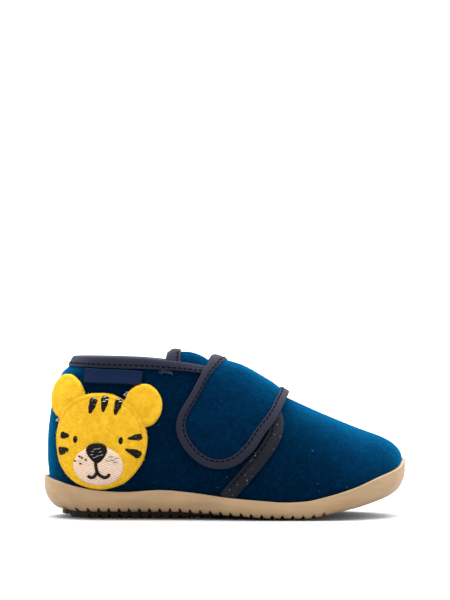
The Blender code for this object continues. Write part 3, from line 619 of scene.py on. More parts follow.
def strap_outline():
    """Outline of the strap, free end first, front edge, sewn end, rear edge: station, arc, way inward."""
    rows = []
    for i in range(9):
        angle = math.radians(90.0 * i / 8)
        rows.append((STRAP_ROUND_FROM - (STRAP_ROUND_FROM - STRAP_TIP) * math.cos(angle), math.sin(angle)))
    over = 180.0 - STRAP_SEWN_FROM
    for i in range(1, 22):
        rows.append((STRAP_ROUND_FROM + (over - STRAP_ROUND_FROM) * i / 21, 1.0))
    end = 180.0 - STRAP_SEWN_END
    for i in range(1, 8):
        angle = math.radians(90.0 * i / 7)
        rows.append((over + (end - over) * math.sin(angle), max(0.0, math.cos(angle)) ** STRAP_SEWN_SQUARE))
    rows[-1] = (end, 0.0)

    def station_of(arc, share):
        folded = min(arc, 180.0 - arc)
        x = STRAP.at("middle", folded) + share * STRAP.at("half", folded)
        return math.acos(-x / LAST_END) / math.pi

    loop = [(station_of(arc, share), arc) for arc, share in rows]
    loop += [(station_of(arc, -share), arc) for arc, share in reversed(rows[1:-1])]
    outline = []
    for i, (station, arc) in enumerate(loop):
        ahead = felt_surface(*loop[(i + 1) % len(loop)]) - felt_surface(*loop[i - 1])
        inward = unit(np.cross(felt_normal(station, arc), unit(ahead)))
        middle_arc = min(max(arc, STRAP_ROUND_FROM), 180.0 - STRAP_SEWN_FROM)
        middle = felt_surface(station_of(middle_arc, 0.0), middle_arc)
        if float(np.dot(inward, middle - felt_surface(station, arc))) < 0:
            inward = -inward
        outline.append((station, arc, inward))
    return outline


def strap_lift(arc):
    """Underside of the strap above the vamp's felt."""
    share = smooth((abs(arc - 90.0) - STRAP_LIFT_FLAT) / STRAP_LIFT_FADE)
    return STRAP_LIFT_RIDGE + (STRAP_LIFT_SIDE - STRAP_LIFT_RIDGE) * share


class HeelMap:
    """The outer heel round the head's middle as a grid of places, read by arc length along and up."""

    STEP = 2.5
    LOW = -25.0
    COUNT = 25

    def __init__(self):
        middle = place_at(HEAD_X, HEAD_Z)
        self.points = np.zeros((self.COUNT, self.COUNT, 3))
        self.normals = np.zeros((self.COUNT, self.COUNT, 3))
        zero = int(round(-self.LOW / self.STEP))
        columns = {zero: middle}
        for direction in (1, -1):
            place = middle
            for j in range(1, self.COUNT):
                index = zero + direction * j
                if 0 <= index < self.COUNT:
                    place = self.step(place, direction * self.STEP, True)
                    columns[index] = place
        for j, start in columns.items():
            for direction in (1, -1):
                place = start
                for i in range(self.COUNT):
                    index = zero + direction * i
                    if not 0 <= index < self.COUNT:
                        break
                    across = direction * i * self.STEP
                    if i > 0 and across >= FLAT_BEYOND - 0.01:
                        place = self.step(place, direction * self.STEP, False)
                    skin, normal = felt_at(*place)
                    base = skin + normal * (quarter_lift(skin) + GAP)
                    if across < FLAT_BEYOND:
                        level = turned(unit(np.cross(normal, np.array((0.0, 0.0, 1.0)))), 0, -1)
                        base = base + level * (FLAT_FROM - across)
                    self.points[index, j] = base
                    self.normals[index, j] = normal

    def step(self, place, distance, upward):
        station, arc = place
        normal = felt_normal(station, arc)
        level = turned(unit(np.cross(normal, np.array((0.0, 0.0, 1.0)))), 0)
        rise = turned(unit(np.cross(level, normal)), 2)
        return walk(station, arc, (rise if upward else level) * distance, 2)

    def at(self, across, up):
        """Point on the quarter's felt and its outward direction; the drawing narrows behind its middle."""
        across = across * NARROW_BACK if across < 0 else across
        u = min(self.COUNT - 1.001, max(0.0, (across - self.LOW) / self.STEP))
        v = min(self.COUNT - 1.001, max(0.0, (up - self.LOW) / self.STEP))
        i, j = int(u), int(v)
        u, v = u - i, v - j
        blend = [grid[i, j] * (1 - u) * (1 - v) + grid[i + 1, j] * u * (1 - v)
                 + grid[i, j + 1] * (1 - u) * v + grid[i + 1, j + 1] * u * v
                 for grid in (self.points, self.normals)]
        return blend[0], unit(blend[1])


class Value:
    """A socket, so that shader maths can be written as an expression."""

    def __init__(self, paint, socket):
        self.paint = paint
        self.socket = socket

    def __add__(self, other):
        return self.paint.maths("ADD", self, other)

    def __mul__(self, other):
        return self.paint.maths("MULTIPLY", self, other)

    __radd__ = __add__
    __rmul__ = __mul__


class Paint:
    """One material, its nodes added by node() and its shader's own sockets set by name."""

    def __init__(self, name, **uniform):
        self.material = bpy.data.materials.new(name)
        self.material.use_nodes = True
        self.tree = self.material.node_tree
        self.shader = next(n for n in self.tree.nodes if n.type == "BSDF_PRINCIPLED")
        for key, value in uniform.items():
            self.shader.inputs[key.replace("_", " ")].default_value = value

    def node(self, kind, settings, sockets, output=0):
        """A node of this kind: its settings first, then the values or links of its sockets."""
        made = self.tree.nodes.new(kind)
        for key, value in settings.items():
            if key == "stops":
                while len(made.color_ramp.elements) < len(value):
                    made.color_ramp.elements.new(1.0)
                for stop, (place, color) in zip(made.color_ramp.elements, value):
                    stop.position = place
                    stop.color = (*color, 1.0)
            else:
                setattr(made, key, value)
        for key, value in sockets.items():
            self.put(made.inputs[key], value)
        return Value(self, made.outputs[output])

    def put(self, socket, value):
        if isinstance(value, Value):
            self.tree.links.new(value.socket, socket)
        else:
            socket.default_value = value

    def maths(self, operation, first, second):
        return self.node("ShaderNodeMath", {"operation": operation}, {0: first, 1: second})

    def sine(self, value):
        return self.node("ShaderNodeMath", {"operation": "SINE"}, {0: value})

    def places(self):
        return self.node("ShaderNodeTexCoord", {}, {}, "Object")

    def run(self):
        """First number of the piece's UV map "run"."""
        lay = self.node("ShaderNodeUVMap", {"uv_map": "run"}, {})
        return self.node("ShaderNodeSeparateXYZ", {}, {0: lay}, "X")

    def noise(self, vector, scale, detail=2.0, roughness=0.5):
        return self.node("ShaderNodeTexNoise", {}, {"Vector": vector, "Scale": scale, "Detail": detail,
                                                    "Roughness": roughness}, 0)

    def stretched(self, vector, scale, turn):
        return self.node("ShaderNodeMapping", {}, {"Vector": vector, "Scale": scale, "Rotation": turn})

    def mix(self, factor, first, second):
        return self.node("ShaderNodeMix", {"data_type": "RGBA"}, {0: factor, 6: first, 7: second}, 2)

    def ramp(self, factor, *stops):
        return self.node("ShaderNodeValToRGB", {"stops": stops}, {"Fac": factor})

    def color(self, value):
        self.put(self.shader.inputs["Base Color"], value)

    def rough(self, value):
        self.put(self.shader.inputs["Roughness"], value)

    def bump(self, height, strength, distance):
        sockets = {"Height": height, "Strength": strength, "Distance": distance}
        self.put(self.shader.inputs["Normal"], self.node("ShaderNodeBump", {}, sockets))


def felt_finish(name, deep, main, pale, sheen_tint, sheen, shade=0.0):
    """Napped wool felt: mottled colour, matted fibres and a soft sheen; shade is painted shade that darkens
    it by its UV.
    """
    paint = Paint(name, Sheen_Weight=sheen, Sheen_Roughness=0.5, Sheen_Tint=(*sheen_tint, 1.0),
                  Specular_IOR_Level=0.0)
    place = paint.places()
    cloud = paint.noise(place, 140.0, 4.0, 0.65)
    mat = paint.noise(paint.stretched(place, (1.0, 1.0, 2.6), (0.3, 0.5, 0.2)), 900.0, 3.0, 0.65)
    cross = paint.noise(paint.stretched(place, (2.8, 1.0, 1.0), (0.2, -0.5, 0.6)), 800.0, 3.0, 0.65)
    clump = paint.noise(place, 430.0, 3.0, 0.6)
    fibre = mat * 0.5 + cross * 0.5
    tone = fibre * 0.4 + clump * 0.35 + cloud * 0.25
    wool = paint.ramp(tone, (0.36, deep), (0.5, main), (0.64, pale))
    if shade > 0:
        wool = paint.mix(paint.run() * shade, wool, (0.0, 0.0, 0.0, 1.0))
    paint.color(wool)
    paint.rough(0.86 + fibre * 0.14)
    paint.bump(fibre * 0.5 + clump * 0.5, 0.6, 0.0010)
    return paint.material


def tape_finish(name, dark, light):
    """Ribbed binding tape: fine ribs across its run, worked on its own UV in millimetres."""
    paint = Paint(name, Sheen_Weight=0.12, Sheen_Roughness=0.4, Sheen_Tint=(0.5, 0.5, 0.65, 1.0),
                  Specular_IOR_Level=0.1)
    run = paint.run()
    place = paint.places()
    wander = paint.noise(place, 420.0, 2.0)
    grain = paint.noise(place, 1500.0, 2.0, 0.7)
    rib = paint.sine(run * 8.4 + wander * 2.6) * 0.5 + 0.5
    tone = rib * 0.4 + grain * 0.35 + wander * 0.25
    paint.color(paint.mix(tone, (*dark, 1.0), (*light, 1.0)))
    paint.rough(0.72 + grain * 0.2)
    paint.bump(rib * 0.6 + grain * 0.4, 0.5, 0.00035)
    return paint.material


def gum_finish():
    """Moulded gum rubber: even, slightly satin, faintly clouded, with painted shade in the tread, the
    grooves, the lip's seam and over the toe where its UV says so.
    """
    paint = Paint("gum_rubber", Specular_IOR_Level=0.38, Subsurface_Weight=0.06, Subsurface_Scale=0.004)
    place = paint.places()
    cloud = paint.noise(place, 38.0, 3.0, 0.55)
    grain = paint.noise(place, 1300.0, 2.0, 0.6)
    streak = paint.noise(paint.stretched(place, (0.35, 1.0, 2.4), (0.0, 0.1, 0.0)), 160.0, 2.0)
    tone = cloud * 0.6 + streak * 0.4
    # sole_painted_shade comes from the UV: painted shade under the tread, in the groove roots, along the
    # lip's seam and over the toe, mixed towards near-black
    sole_painted_shade = paint.run()
    gum = paint.ramp(tone, (0.36, (0.246, 0.156, 0.077)), (0.5, (0.286, 0.184, 0.094)),
                     (0.64, (0.322, 0.211, 0.113)))
    paint.color(paint.mix(sole_painted_shade, gum, (0.018, 0.015, 0.013, 1.0)))
    paint.rough(0.42 + cloud * 0.14 + grain * 0.08)
    paint.bump(grain * 0.6 + cloud * 0.4, 0.12, 0.0004)
    return paint.material


def ribbon_finish():
    """Plain woven ribbon: close crossing threads with a slight gloss."""
    paint = Paint("woven_ribbon", Specular_IOR_Level=0.03)
    place = paint.places()
    split = [paint.node("ShaderNodeSeparateXYZ", {}, {0: place}, axis) for axis in ("X", "Z")]
    warp = paint.sine(split[0] * 11000.0) * 0.5 + 0.5
    weft = paint.sine(split[1] * 13000.0) * 0.5 + 0.5
    grain = paint.noise(place, 700.0, 2.0)
    tone = warp * weft * 0.6 + grain * 0.4
    paint.color(paint.mix(tone, (0.0012, 0.0040, 0.0150, 1.0), (0.0050, 0.0165, 0.0480, 1.0)))
    paint.rough(0.5 + grain * 0.2)
    paint.bump(warp * weft, 0.4, 0.0002)
    return paint.material


def thread_finish(name, dark, light, gloss):
    """Embroidery thread: slim lines that follow the stitch, worked on the piece's own UV in millimetres."""
    paint = Paint(name, Specular_IOR_Level=gloss)
    run = paint.run()
    place = paint.places()
    wander = paint.noise(place, 260.0, 2.0)
    grain = paint.noise(place, 900.0, 2.0)
    line = paint.sine(run * 6.6 + wander * 2.4) * 0.5 + 0.5
    tone = line * 0.55 + grain * 0.45
    paint.color(paint.mix(tone, (*dark, 1.0), (*light, 1.0)))
    paint.rough(0.55 + grain * 0.25)
    paint.bump(line, 0.6, 0.0003)
    return paint.material


def yarn_finish(name, dark, light):
    """Sewing thread and loose fibres."""
    paint = Paint(name, Specular_IOR_Level=0.0)
    grain = paint.noise(paint.places(), 600.0, 2.0)
    paint.color(paint.mix(grain, (*dark, 1.0), (*light, 1.0)))
    paint.rough(0.75 + grain * 0.2)
    return paint.material


def lone(piece):
    """Leaves only this piece selected and active."""
    bpy.ops.object.select_all(action="DESELECT")
    piece.select_set(True)
    bpy.context.view_layer.objects.active = piece


def dressed(piece, finish, slot, *nodes):
    """Gives a piece its finish and its body, and hides the solids that it stands for."""
    piece.data.materials.clear()
    piece.data.materials.append(finish)
    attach(piece, "root")
    if nodes:
        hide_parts(*nodes)
    return piece


def soft_copy(node, name, edge):
    """A copy of a solid, its facets merged to quads and rounded; edge is how crisp its rims stay."""
    piece = bpy.data.objects.new(name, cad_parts[node].data.copy())
    bpy.context.scene.collection.objects.link(piece)
    lone(piece)
    bpy.ops.mesh.customdata_custom_splitnormals_clear()
    bpy.ops.object.mode_set(mode="EDIT")
    bpy.ops.mesh.select_all(action="SELECT")
    bpy.ops.mesh.remove_doubles(threshold=0.00002)
    bpy.ops.mesh.tris_convert_to_quads(face_threshold=1.0, shape_threshold=1.2)
    bpy.ops.mesh.select_mode(type="EDGE")
    bpy.ops.mesh.select_all(action="DESELECT")
    bpy.ops.mesh.edges_select_sharp(sharpness=math.radians(SHARP_FROM))
    bpy.ops.transform.edge_crease(value=edge)
    bpy.ops.mesh.select_mode(type="VERT")
    bpy.ops.object.mode_set(mode="OBJECT")
    rounding = piece.modifiers.new("rounding", "SUBSURF")
    rounding.levels = ROUNDING
    rounding.render_levels = ROUNDING
    bpy.ops.object.modifier_apply(modifier="rounding")
    bpy.ops.object.shade_smooth()
    return piece


def coordinates(piece):
    places = np.zeros(len(piece.data.vertices) * 3)
    piece.data.vertices.foreach_get("co", places)
    return places.reshape(-1, 3)


def put_coordinates(piece, places):
    piece.data.vertices.foreach_set("co", places.ravel())
    piece.data.update()


def moved(piece, change):
    """Lays a piece's points anew by a change of their places in millimetres, and returns the new places."""
    places = change(coordinates(piece) / MM)
    put_coordinates(piece, places * MM)
    return places


def lay_values(piece, values):
    """UV map "run" from one number a point."""
    corners = np.zeros(len(piece.data.loops), dtype=np.int32)
    piece.data.loops.foreach_get("vertex_index", corners)
    layer = piece.data.uv_layers.new(name="run")
    layer.data.foreach_set("uv", np.stack((values[corners], values[corners]), axis=1).ravel())


def lay_run(piece, path, closed):
    """UV map "run": the length along a path, in millimetres, of the nearest place on it."""
    path = np.array(path)
    if closed:
        path = np.vstack((path, path[:1]))
    start = path[:-1]
    span = path[1:] - start
    lengths = np.linalg.norm(span, axis=1)
    passed = np.concatenate(((0.0,), np.cumsum(lengths)))[:-1]
    places = coordinates(piece) / MM
    best = np.full(len(places), 1e9)
    run = np.zeros(len(places))
    for i in range(len(start)):
        along = np.clip((places - start[i]) @ span[i] / lengths[i] ** 2, 0.0, 1.0)
        away = np.linalg.norm(places - start[i] - along[:, None] * span[i], axis=1)
        nearer = away < best
        best[nearer] = away[nearer]
        run[nearer] = passed[i] + along[nearer] * lengths[i]
    lay_values(piece, run)


def grid_piece(name, columns, rows, place, wrap):
    """A grid primitive whose points are laid by place(column, row); wrap closes its columns into a ring."""
    bpy.ops.object.select_all(action="DESELECT")
    bpy.ops.mesh.primitive_grid_add(x_subdivisions=columns, y_subdivisions=rows, size=1.0,
                                    location=(0, 0, 0))
    piece = bpy.context.active_object
    piece.name = name
    piece.data.name = name
    rest = coordinates(piece)
    column = np.rint((rest[:, 0] + 0.5) * columns).astype(int)
    row = np.rint((rest[:, 1] + 0.5) * rows).astype(int)
    laid = np.array([place(int(i) % columns if wrap else int(i), int(j)) for i, j in zip(column, row)])
    put_coordinates(piece, laid * MM)
    return piece, column, row


def closed_up(piece):
    """Merges a piece's seams and poles and turns its faces outwards."""
    lone(piece)
    bpy.ops.object.mode_set(mode="EDIT")
    bpy.ops.mesh.select_all(action="SELECT")
    bpy.ops.mesh.remove_doubles(threshold=0.000005)
    bpy.ops.mesh.normals_make_consistent(inside=False)
    bpy.ops.object.mode_set(mode="OBJECT")
    bpy.ops.object.shade_smooth()
    return piece


def joined(name, points, faces):
    """One mesh from arrays of points (metres) and of faces with the same number of corners."""
    mesh = bpy.data.meshes.new(name)
    count, corners = faces.shape
    mesh.vertices.add(len(points))
    mesh.vertices.foreach_set("co", points.ravel())
    mesh.loops.add(count * corners)
    mesh.loops.foreach_set("vertex_index", faces.ravel().astype(np.int32))
    mesh.polygons.add(count)
    mesh.polygons.foreach_set("loop_start", np.arange(0, count * corners, corners, dtype=np.int32))
    mesh.update(calc_edges=True)
    mesh.validate()
    piece = bpy.data.objects.new(name, mesh)
    bpy.context.scene.collection.objects.link(piece)
    lone(piece)
    bpy.ops.object.shade_smooth()
    return piece


def stitch_shape():
    """One stitch, a unit long: a rounded thread whose ends dive into the cloth."""
    bpy.ops.object.select_all(action="DESELECT")
    bpy.ops.mesh.primitive_cylinder_add(vertices=6, radius=0.5, depth=1.0, end_fill_type="NOTHING")
    thing = bpy.context.active_object
    bpy.ops.object.mode_set(mode="EDIT")
    bpy.ops.mesh.select_all(action="SELECT")
    bpy.ops.mesh.subdivide(number_cuts=3)
    bpy.ops.mesh.remove_doubles(threshold=0.0001)
    bpy.ops.object.mode_set(mode="OBJECT")
    places = coordinates(thing)
    along = places[:, 2].copy()
    slim = np.sqrt(np.clip(1 - (2 * along) ** 2 * 0.75, 0.0, 1.0))
    shape = np.stack((along, places[:, 0] * slim, places[:, 1] * slim - 2.2 * along ** 2 + 0.2), axis=1)
    thing.data.calc_loop_triangles()
    faces = np.array([list(t.vertices) for t in thing.data.loop_triangles])
    bpy.data.objects.remove(thing)
    return shape, faces


def sew(name, seams, size, finish, slot, uneven=0.0):
    """Stitches of a size (length, width, height) as one mesh; seams give places, ways along and ways out."""
    shape, faces = stitch_shape()
    sized = shape * np.array(size)
    points, corners = [], []
    for i, (place, along, out) in enumerate(seams):
        along = unit(np.array(along))
        along = unit(along + uneven * math.sin(i * 12.9) * np.cross(out, along))
        out = unit(np.array(out) - along * float(np.dot(out, along)))
        side = np.cross(out, along)
        points.append((np.array(place) + sized @ np.stack((along, side, out))) * MM)
        corners.append(faces + i * len(shape))
    piece = joined(name, np.vstack(points), np.vstack(corners))
    return dressed(piece, finish, slot)


def spaced(laid, pitch, closed=False, bend=None):
    """Evenly spaced stitches along places with ways out, bent first: place, way along, way out."""
    path = np.array([place for place, _ in laid])
    outs = np.array([out for _, out in laid])
    if bend:
        path = bend(path)
    if closed:
        path = np.vstack((path, path[:1]))
        outs = np.vstack((outs, outs[:1]))
    lengths = np.linalg.norm(np.diff(path, axis=0), axis=1)
    passed = np.concatenate(((0.0,), np.cumsum(lengths)))
    count = max(1, int(passed[-1] / pitch))
    found = []
    for k in range(count):
        target = (k + 0.5) * passed[-1] / count
        i = min(len(lengths) - 1, int(np.searchsorted(passed, target)) - 1)
        part = (target - passed[i]) / lengths[i]
        found.append((path[i] + (path[i + 1] - path[i]) * part, path[i + 1] - path[i],
                      outs[i] + (outs[i + 1] - outs[i]) * part))
    return found


def crease_depth(places, creases):
    """How deep the creases are at these places: each row is points, width and depth in millimetres."""
    depths = np.zeros(len(places))
    for points, width, depth in creases:
        points = np.array(points, dtype=float)
        near = np.full(len(places), 1e9)
        fade = np.zeros(len(places))
        for i in range(len(points) - 1):
            span = points[i + 1] - points[i]
            along = np.clip((places - points[i]) @ span / float(span @ span), 0.0, 1.0)
            away = np.linalg.norm(places - points[i] - along[:, None] * span, axis=1)
            whole = (i + along) / (len(points) - 1)
            closer = away < near
            near[closer] = away[closer]
            fade[closer] = np.sin(np.pi * np.clip(whole[closer] * 0.9 + 0.05, 0, 1)) ** 0.7
        depths += depth * fade * np.exp(-(near / width) ** 2)
    return depths


def creased(piece, creases):
    """Presses soft troughs into a piece, or raises ridges where the depth is negative."""
    places = coordinates(piece) / MM
    normals = np.zeros(len(piece.data.vertices) * 3)
    piece.data.vertices.foreach_get("normal", normals)
    normals = normals.reshape(-1, 3)
    put_coordinates(piece, (places - normals * crease_depth(places, creases)[:, None]) * MM)


def painted_felt_shade(x, height):
    """Painted shade on the upper's felt: full on the quarters, fading over the vamp to the toe and the
    ridge.
    """
    behind = clamp((QUARTER_EDGE.at("x", height) - x) / SHADE_EDGE - 0.5)
    below = clamp((LAST.at("ridge", x) - height) / SHADE_RIDGE)
    return max(behind, (SHADE_CROWN + SHADE_SIDE * below) * clamp((SHADE_TOE - x) / SHADE_FADE))


def nudged(places):
    """Places in millimetres with the toe's felt full, the heel's collar drawn in and the rim raised."""
    places = np.array(places)
    x, height = places[:, 0], places[:, 2]
    below = RIM.all_at("height", x) - height
    ahead = share_from(x, *TOE_SPAN) ** 2 * share_from(height, *TOE_HEIGHT_SPAN)
    behind = share_from(x, *COLLAR_BACK_SPAN) * share_from(height, *COLLAR_HEIGHT_SPAN)
    rising = share_from(x, *COLLAR_RISE_SPAN) * share_from(x, *COLLAR_FALL_SPAN)
    places[:, 0] = x + TOE_FULL * ahead + COLLAR_NUDGE * behind
    places[:, 2] = height + COLLAR_RISE * rising * share_from(below, *COLLAR_RIM_SPAN)
    return places


def narrowed(places):
    """Places in millimetres on the collar's tape, which grows narrower towards the strap."""
    places = np.array(places)
    below = RIM.all_at("height", places[:, 0]) - places[:, 2]
    share = share_from(places[:, 0], *COLLAR_NARROW_SPAN)
    places[:, 2] += np.maximum(0.0, below) * COLLAR_NARROW * share
    return nudged(places)


def strap_drawn(places):
    """Places in millimetres on the strap, its rear edge drawn straight along the felt up to the ridge."""
    drawn = np.array(places)
    for place in drawn:
        x, across, height = place.tolist()
        share = 1 - (x - STRAP_DRAW.at("edge", height)) / STRAP_DRAW_REACH
        shift = STRAP_DRAW.at("shift", height) * clamp(share)
        if shift != 0:
            foot = FOOTBED.at("height", x) + GAP
            up = min(1.0, (height - STRAP_LIFT_RIDGE - foot) / (LAST.at("ridge", x) - foot))
            arc = math.degrees(math.asin(up ** (RIDGE / 2)))
            arc = mirrored(arc, across - LAST.at("middle", x))
            stations = [math.acos(-place_x / LAST_END) / math.pi for place_x in (x, x + shift)]
            place += felt_surface(stations[1], arc) - felt_surface(stations[0], arc)
    return drawn


def tongue_bent(places):
    """Places in millimetres on the tongue: rear edge sloped, top of its tape crowned and its back full."""
    places = np.array(places)
    high = share_from(places[:, 2], *TONGUE_TOP_SPAN)
    back = share_from(places[:, 0], *TONGUE_BACK_SPAN)
    places[:, 0] += TONGUE_SLOPE * high ** 2 * back
    places[:, 2] += high * (TONGUE_CROWN * CROWN_SCALE * back ** 2 * (1 - back) - TONGUE_DROP * back ** 3)
    rear = share_from(places[:, 0], *TONGUE_SINK_SPAN) * share_from(places[:, 0], *TONGUE_SWELL_SPAN)
    places[:, 2] += TONGUE_SWELL * rear * share_from(places[:, 2], *TONGUE_SWELL_HEIGHT)
    return places


def pulled_in(places):
    """Places in millimetres on a front tape, its foot drawn back and down behind the sole's lip."""
    above = places[:, 2] - SOLE_LIP.all_at("height", places[:, 0])
    return places - np.outer(np.maximum(0.0, 1 - above / FRONT_PULL_REACH), FRONT_PULL)


def hung(places):
    """Places in millimetres on the tab, drawn out below its top."""
    places = np.array(places)
    top = places[:, 2].max()
    places[:, 2] = top - (top - places[:, 2]) * LABEL_HANG
    return places


def nap(name, piece, count, seed, reach, width, cover, finish, slot, outer_only=True):
    """Loose fibres lying on a felt piece, as one mesh of slim bent strips."""
    chance = np.random.default_rng(seed)
    mesh = piece.data
    mesh.calc_loop_triangles()
    corners = np.zeros(len(mesh.loop_triangles) * 3, dtype=np.int32)
    mesh.loop_triangles.foreach_get("vertices", corners)
    corners = corners.reshape(-1, 3)
    places = coordinates(piece) / MM
    a, b, c = places[corners[:, 0]], places[corners[:, 1]], places[corners[:, 2]]
    cross = np.cross(b - a, c - a)
    area = np.linalg.norm(cross, axis=1)
    pick = chance.choice(len(area), size=count, p=area / area.sum())
    share = np.sqrt(chance.random(count))
    turn = chance.random(count)
    root = (a[pick] * (1 - share)[:, None] + b[pick] * (share * (1 - turn))[:, None]
            + c[pick] * (share * turn)[:, None])
    out = cross[pick] / area[pick][:, None]
    keep = np.ones(count, dtype=bool)
    if outer_only:
        inside = np.stack((root[:, 0] * INSIDE_PART, np.zeros(count), np.full(count, INSIDE_HEIGHT)), axis=1)
        keep &= np.einsum("ij,ij->i", root - inside, out) > 0
    if cover is not None:
        for i in np.nonzero(keep)[0]:
            start = Vector((root[i] + out[i] * 0.05) * MM)
            near = cover.find_nearest(Vector(root[i] * MM), COVER_NEAR)[0]
            if near is not None or cover.ray_cast(start, Vector(out[i]), COVER_ABOVE)[0] is not None:
                keep[i] = False
    root, out = root[keep], out[keep]
    count = len(root)
    wild = chance.normal(size=(count, 3))
    lie = wild - out * np.einsum("ij,ij->i", wild, out)[:, None]
    lie /= np.linalg.norm(lie, axis=1)[:, None]
    side = np.cross(out, lie)
    size = reach * (0.4 + 0.9 * chance.random(count))[:, None]
    rise = (0.05 + 0.3 * chance.random(count) ** 2.5)[:, None] * size
    curl = (chance.random(count) - 0.5)[:, None] * 0.7
    spine = (root - out * 0.06,
             root + lie * size * 0.5 + out * rise,
             root + lie * size * 0.95 + side * size * curl + out * rise * 0.7)
    half = width * (0.6 + 0.8 * chance.random(count))[:, None] / 2
    points = np.stack((spine[0] - side * half, spine[0] + side * half,
                       spine[1] - side * half, spine[1] + side * half,
                       spine[2] - side * half * 0.4, spine[2] + side * half * 0.4), axis=1).reshape(-1, 3)
    first = np.arange(count)[:, None] * 6
    faces = np.vstack((first + np.array((0, 1, 3, 2)), first + np.array((2, 3, 5, 4))))
    return dressed(joined(name, points * MM, faces), finish, slot)


def cover_of(*pieces):
    """A tree of these pieces' faces, for finding what lies under them."""
    points, faces = [], []
    for piece in pieces:
        start = len(points)
        points += [v.co for v in piece.data.vertices]
        faces += [[start + i for i in p.vertices] for p in piece.data.polygons]
    return BVHTree.FromPolygons(points, faces)


def tread_height(x, across):
    rise = clamp((abs(across) - TREAD_FLAT) / TREAD_STEP)
    return TREAD.at("middle", x) + TREAD.at("edge", x) * rise


def sole_column(station, side, cut):
    """Places up the sole's wall, over its lip and down to the footbed; cut is how deep a groove is here."""
    arc = mirrored(0.0, side)
    point = felt_surface(station, arc)
    outward = felt_normal(station, arc)
    if station > TIP_STATION:
        outward = np.array((1.0, 0.0, 0.0))
    outward = unit(np.array((outward[0], outward[1], 0.0)))
    lip = SOLE_LIP.at("height", point[0])
    lip_skin = point
    if station < TIP_STATION:
        lip_arc = solve(0.0, 89.0, lambda a: felt_surface(station, a)[2] - lip)
        lip_skin = felt_surface(station, mirrored(lip_arc, side))
    bulge = max(0.0, float(np.dot((lip_skin - point)[:2], outward[:2])))
    tuck = SOLE_TUCK.at("depth", point[0])
    low = tread_height((point + outward * (LIP + GAP - tuck))[0], 1.0)
    column = []
    for share in WALL_SHARES:
        level = cut / (lip - low) + (1 - cut / (lip - low)) * share
        short = 1 - min(1.0, level / ROUND_PART)
        rounded = 1 - (1 - short * short) ** ROUND_POWER
        place = point + outward * (LIP + GAP + bulge * level - tuck * rounded)
        place[2] = low + (lip - low) * level
        column.append(place)
    for out, height in LIP_TOP:
        place = point + outward * (GAP + bulge + out)
        place[2] = lip + height
        column.append(place)
    place = point + outward * GAP
    place[2] = FOOTBED.at("height", point[0])
    column.append(place)
    return column


def build_sole(finish):
    """Cup sole with cross grooves: columns up both walls, joined under the foot and over the footbed."""
    def lower_x(station):
        point = felt_surface(station, 0.0)
        outward = felt_normal(station, 0.0)
        outward = unit(np.array((outward[0], outward[1], 0.0)))
        return point[0] + outward[0] * (LIP + GAP - SOLE_TUCK.at("depth", point[0]))

    stops = [(i / SOLE_STATIONS, 0.0) for i in range(SOLE_STATIONS + 1)]
    for k in range(int((GROOVE_END - GROOVE_START) / GROOVE_PITCH) + 1):
        middle = GROOVE_START + k * GROOVE_PITCH
        corners = [(solve(0.02, 0.98, lambda s: lower_x(s) - middle - part), cut) for part, cut in
                   ((-GROOVE_WIDTH / 2, 0.0), (-GROOVE_ROOT / 2, GROOVE_DEPTH),
                    (GROOVE_ROOT / 2, GROOVE_DEPTH), (GROOVE_WIDTH / 2, 0.0))]
        stops = [s for s in stops if not corners[0][0] - 0.001 < s[0] < corners[3][0] + 0.001] + corners
    stops.sort()
    rings = []
    for station, cut in stops:
        outer = sole_column(station, -1, cut)
        inner = sole_column(station, 1, cut)
        under = []
        for share in TREAD_ACROSS:
            place = outer[0] + (inner[0] - outer[0]) * (share + 1) / 2
            place[2] = tread_height(place[0], share) + cut
            under.append(place)
        rings.append(outer + inner[::-1] + under[::-1])
    size = len(rings[0])
    wall = len(outer) + len(inner)
    piece, column, row = grid_piece("gum_sole", size, len(rings) - 1, lambda i, j: rings[j][i], True)
    under = column % size >= wall
    # painted shade under the tread and in the groove roots, laid into the UV below
    cuts = np.array([min(1.0, cut) for _, cut in stops])[row] * np.isin(column % size, (0, wall - 1))
    climb = np.minimum(column % size, wall - 1 - column % size)
    # painted shade along the lip's seam, a dark line where the felt meets the sole
    seam = np.interp(climb, (LIP_ROW - 1, LIP_ROW, LIP_ROW + 1, LIP_ROW + 2), LIP_PAINTED_SHADE)
    # painted shade over the toe, darker towards its tip
    toe_painted_shade = [TOE_PAINTED_SHADE * smooth((ring[0][0] - TOE_PAINTED_SHADE_FROM) / TOE_PAINTED_SHADE_FROM) for ring in rings]
    sole_painted_shade = np.maximum(PAINTED_SHADE * np.maximum(under, cuts), np.array(toe_painted_shade)[row])
    lay_values(piece, np.maximum(sole_painted_shade, seam * (1 - under)))
    closed_up(piece)
    bpy.ops.object.shade_smooth_by_angle(angle=math.radians(SOLE_SHARP))
    return dressed(piece, finish, "rubber_gum", "sole")


def rolled(share, start):
    """How far a rim has rolled down at this share of its radius: none at start, 1 at its edge."""
    return max(0.0, (share - start) / (1 - start)) ** ROLL_POWER


def head_face(share, rim=1.0):
    """Face of the head above its back by share of its radius: a dome, a sewn furrow and a rolled rim."""
    height = PATCH_FELT + HEAD_DOME * (1 - share * share)
    height -= FURROW_DEPTH * math.exp(-((share - FURROW_AT) / FURROW_WIDTH) ** 2)
    return height - HEAD_ROLL * rim * rolled(share, HEAD_ROLL_FROM)


def head_point(heel, across, up, lift):
    point, out = heel.at(across, up)
    share = math.hypot(across, up) / HEAD_RADIUS
    return point + out * (head_face(min(1.0, share)) + lift), out


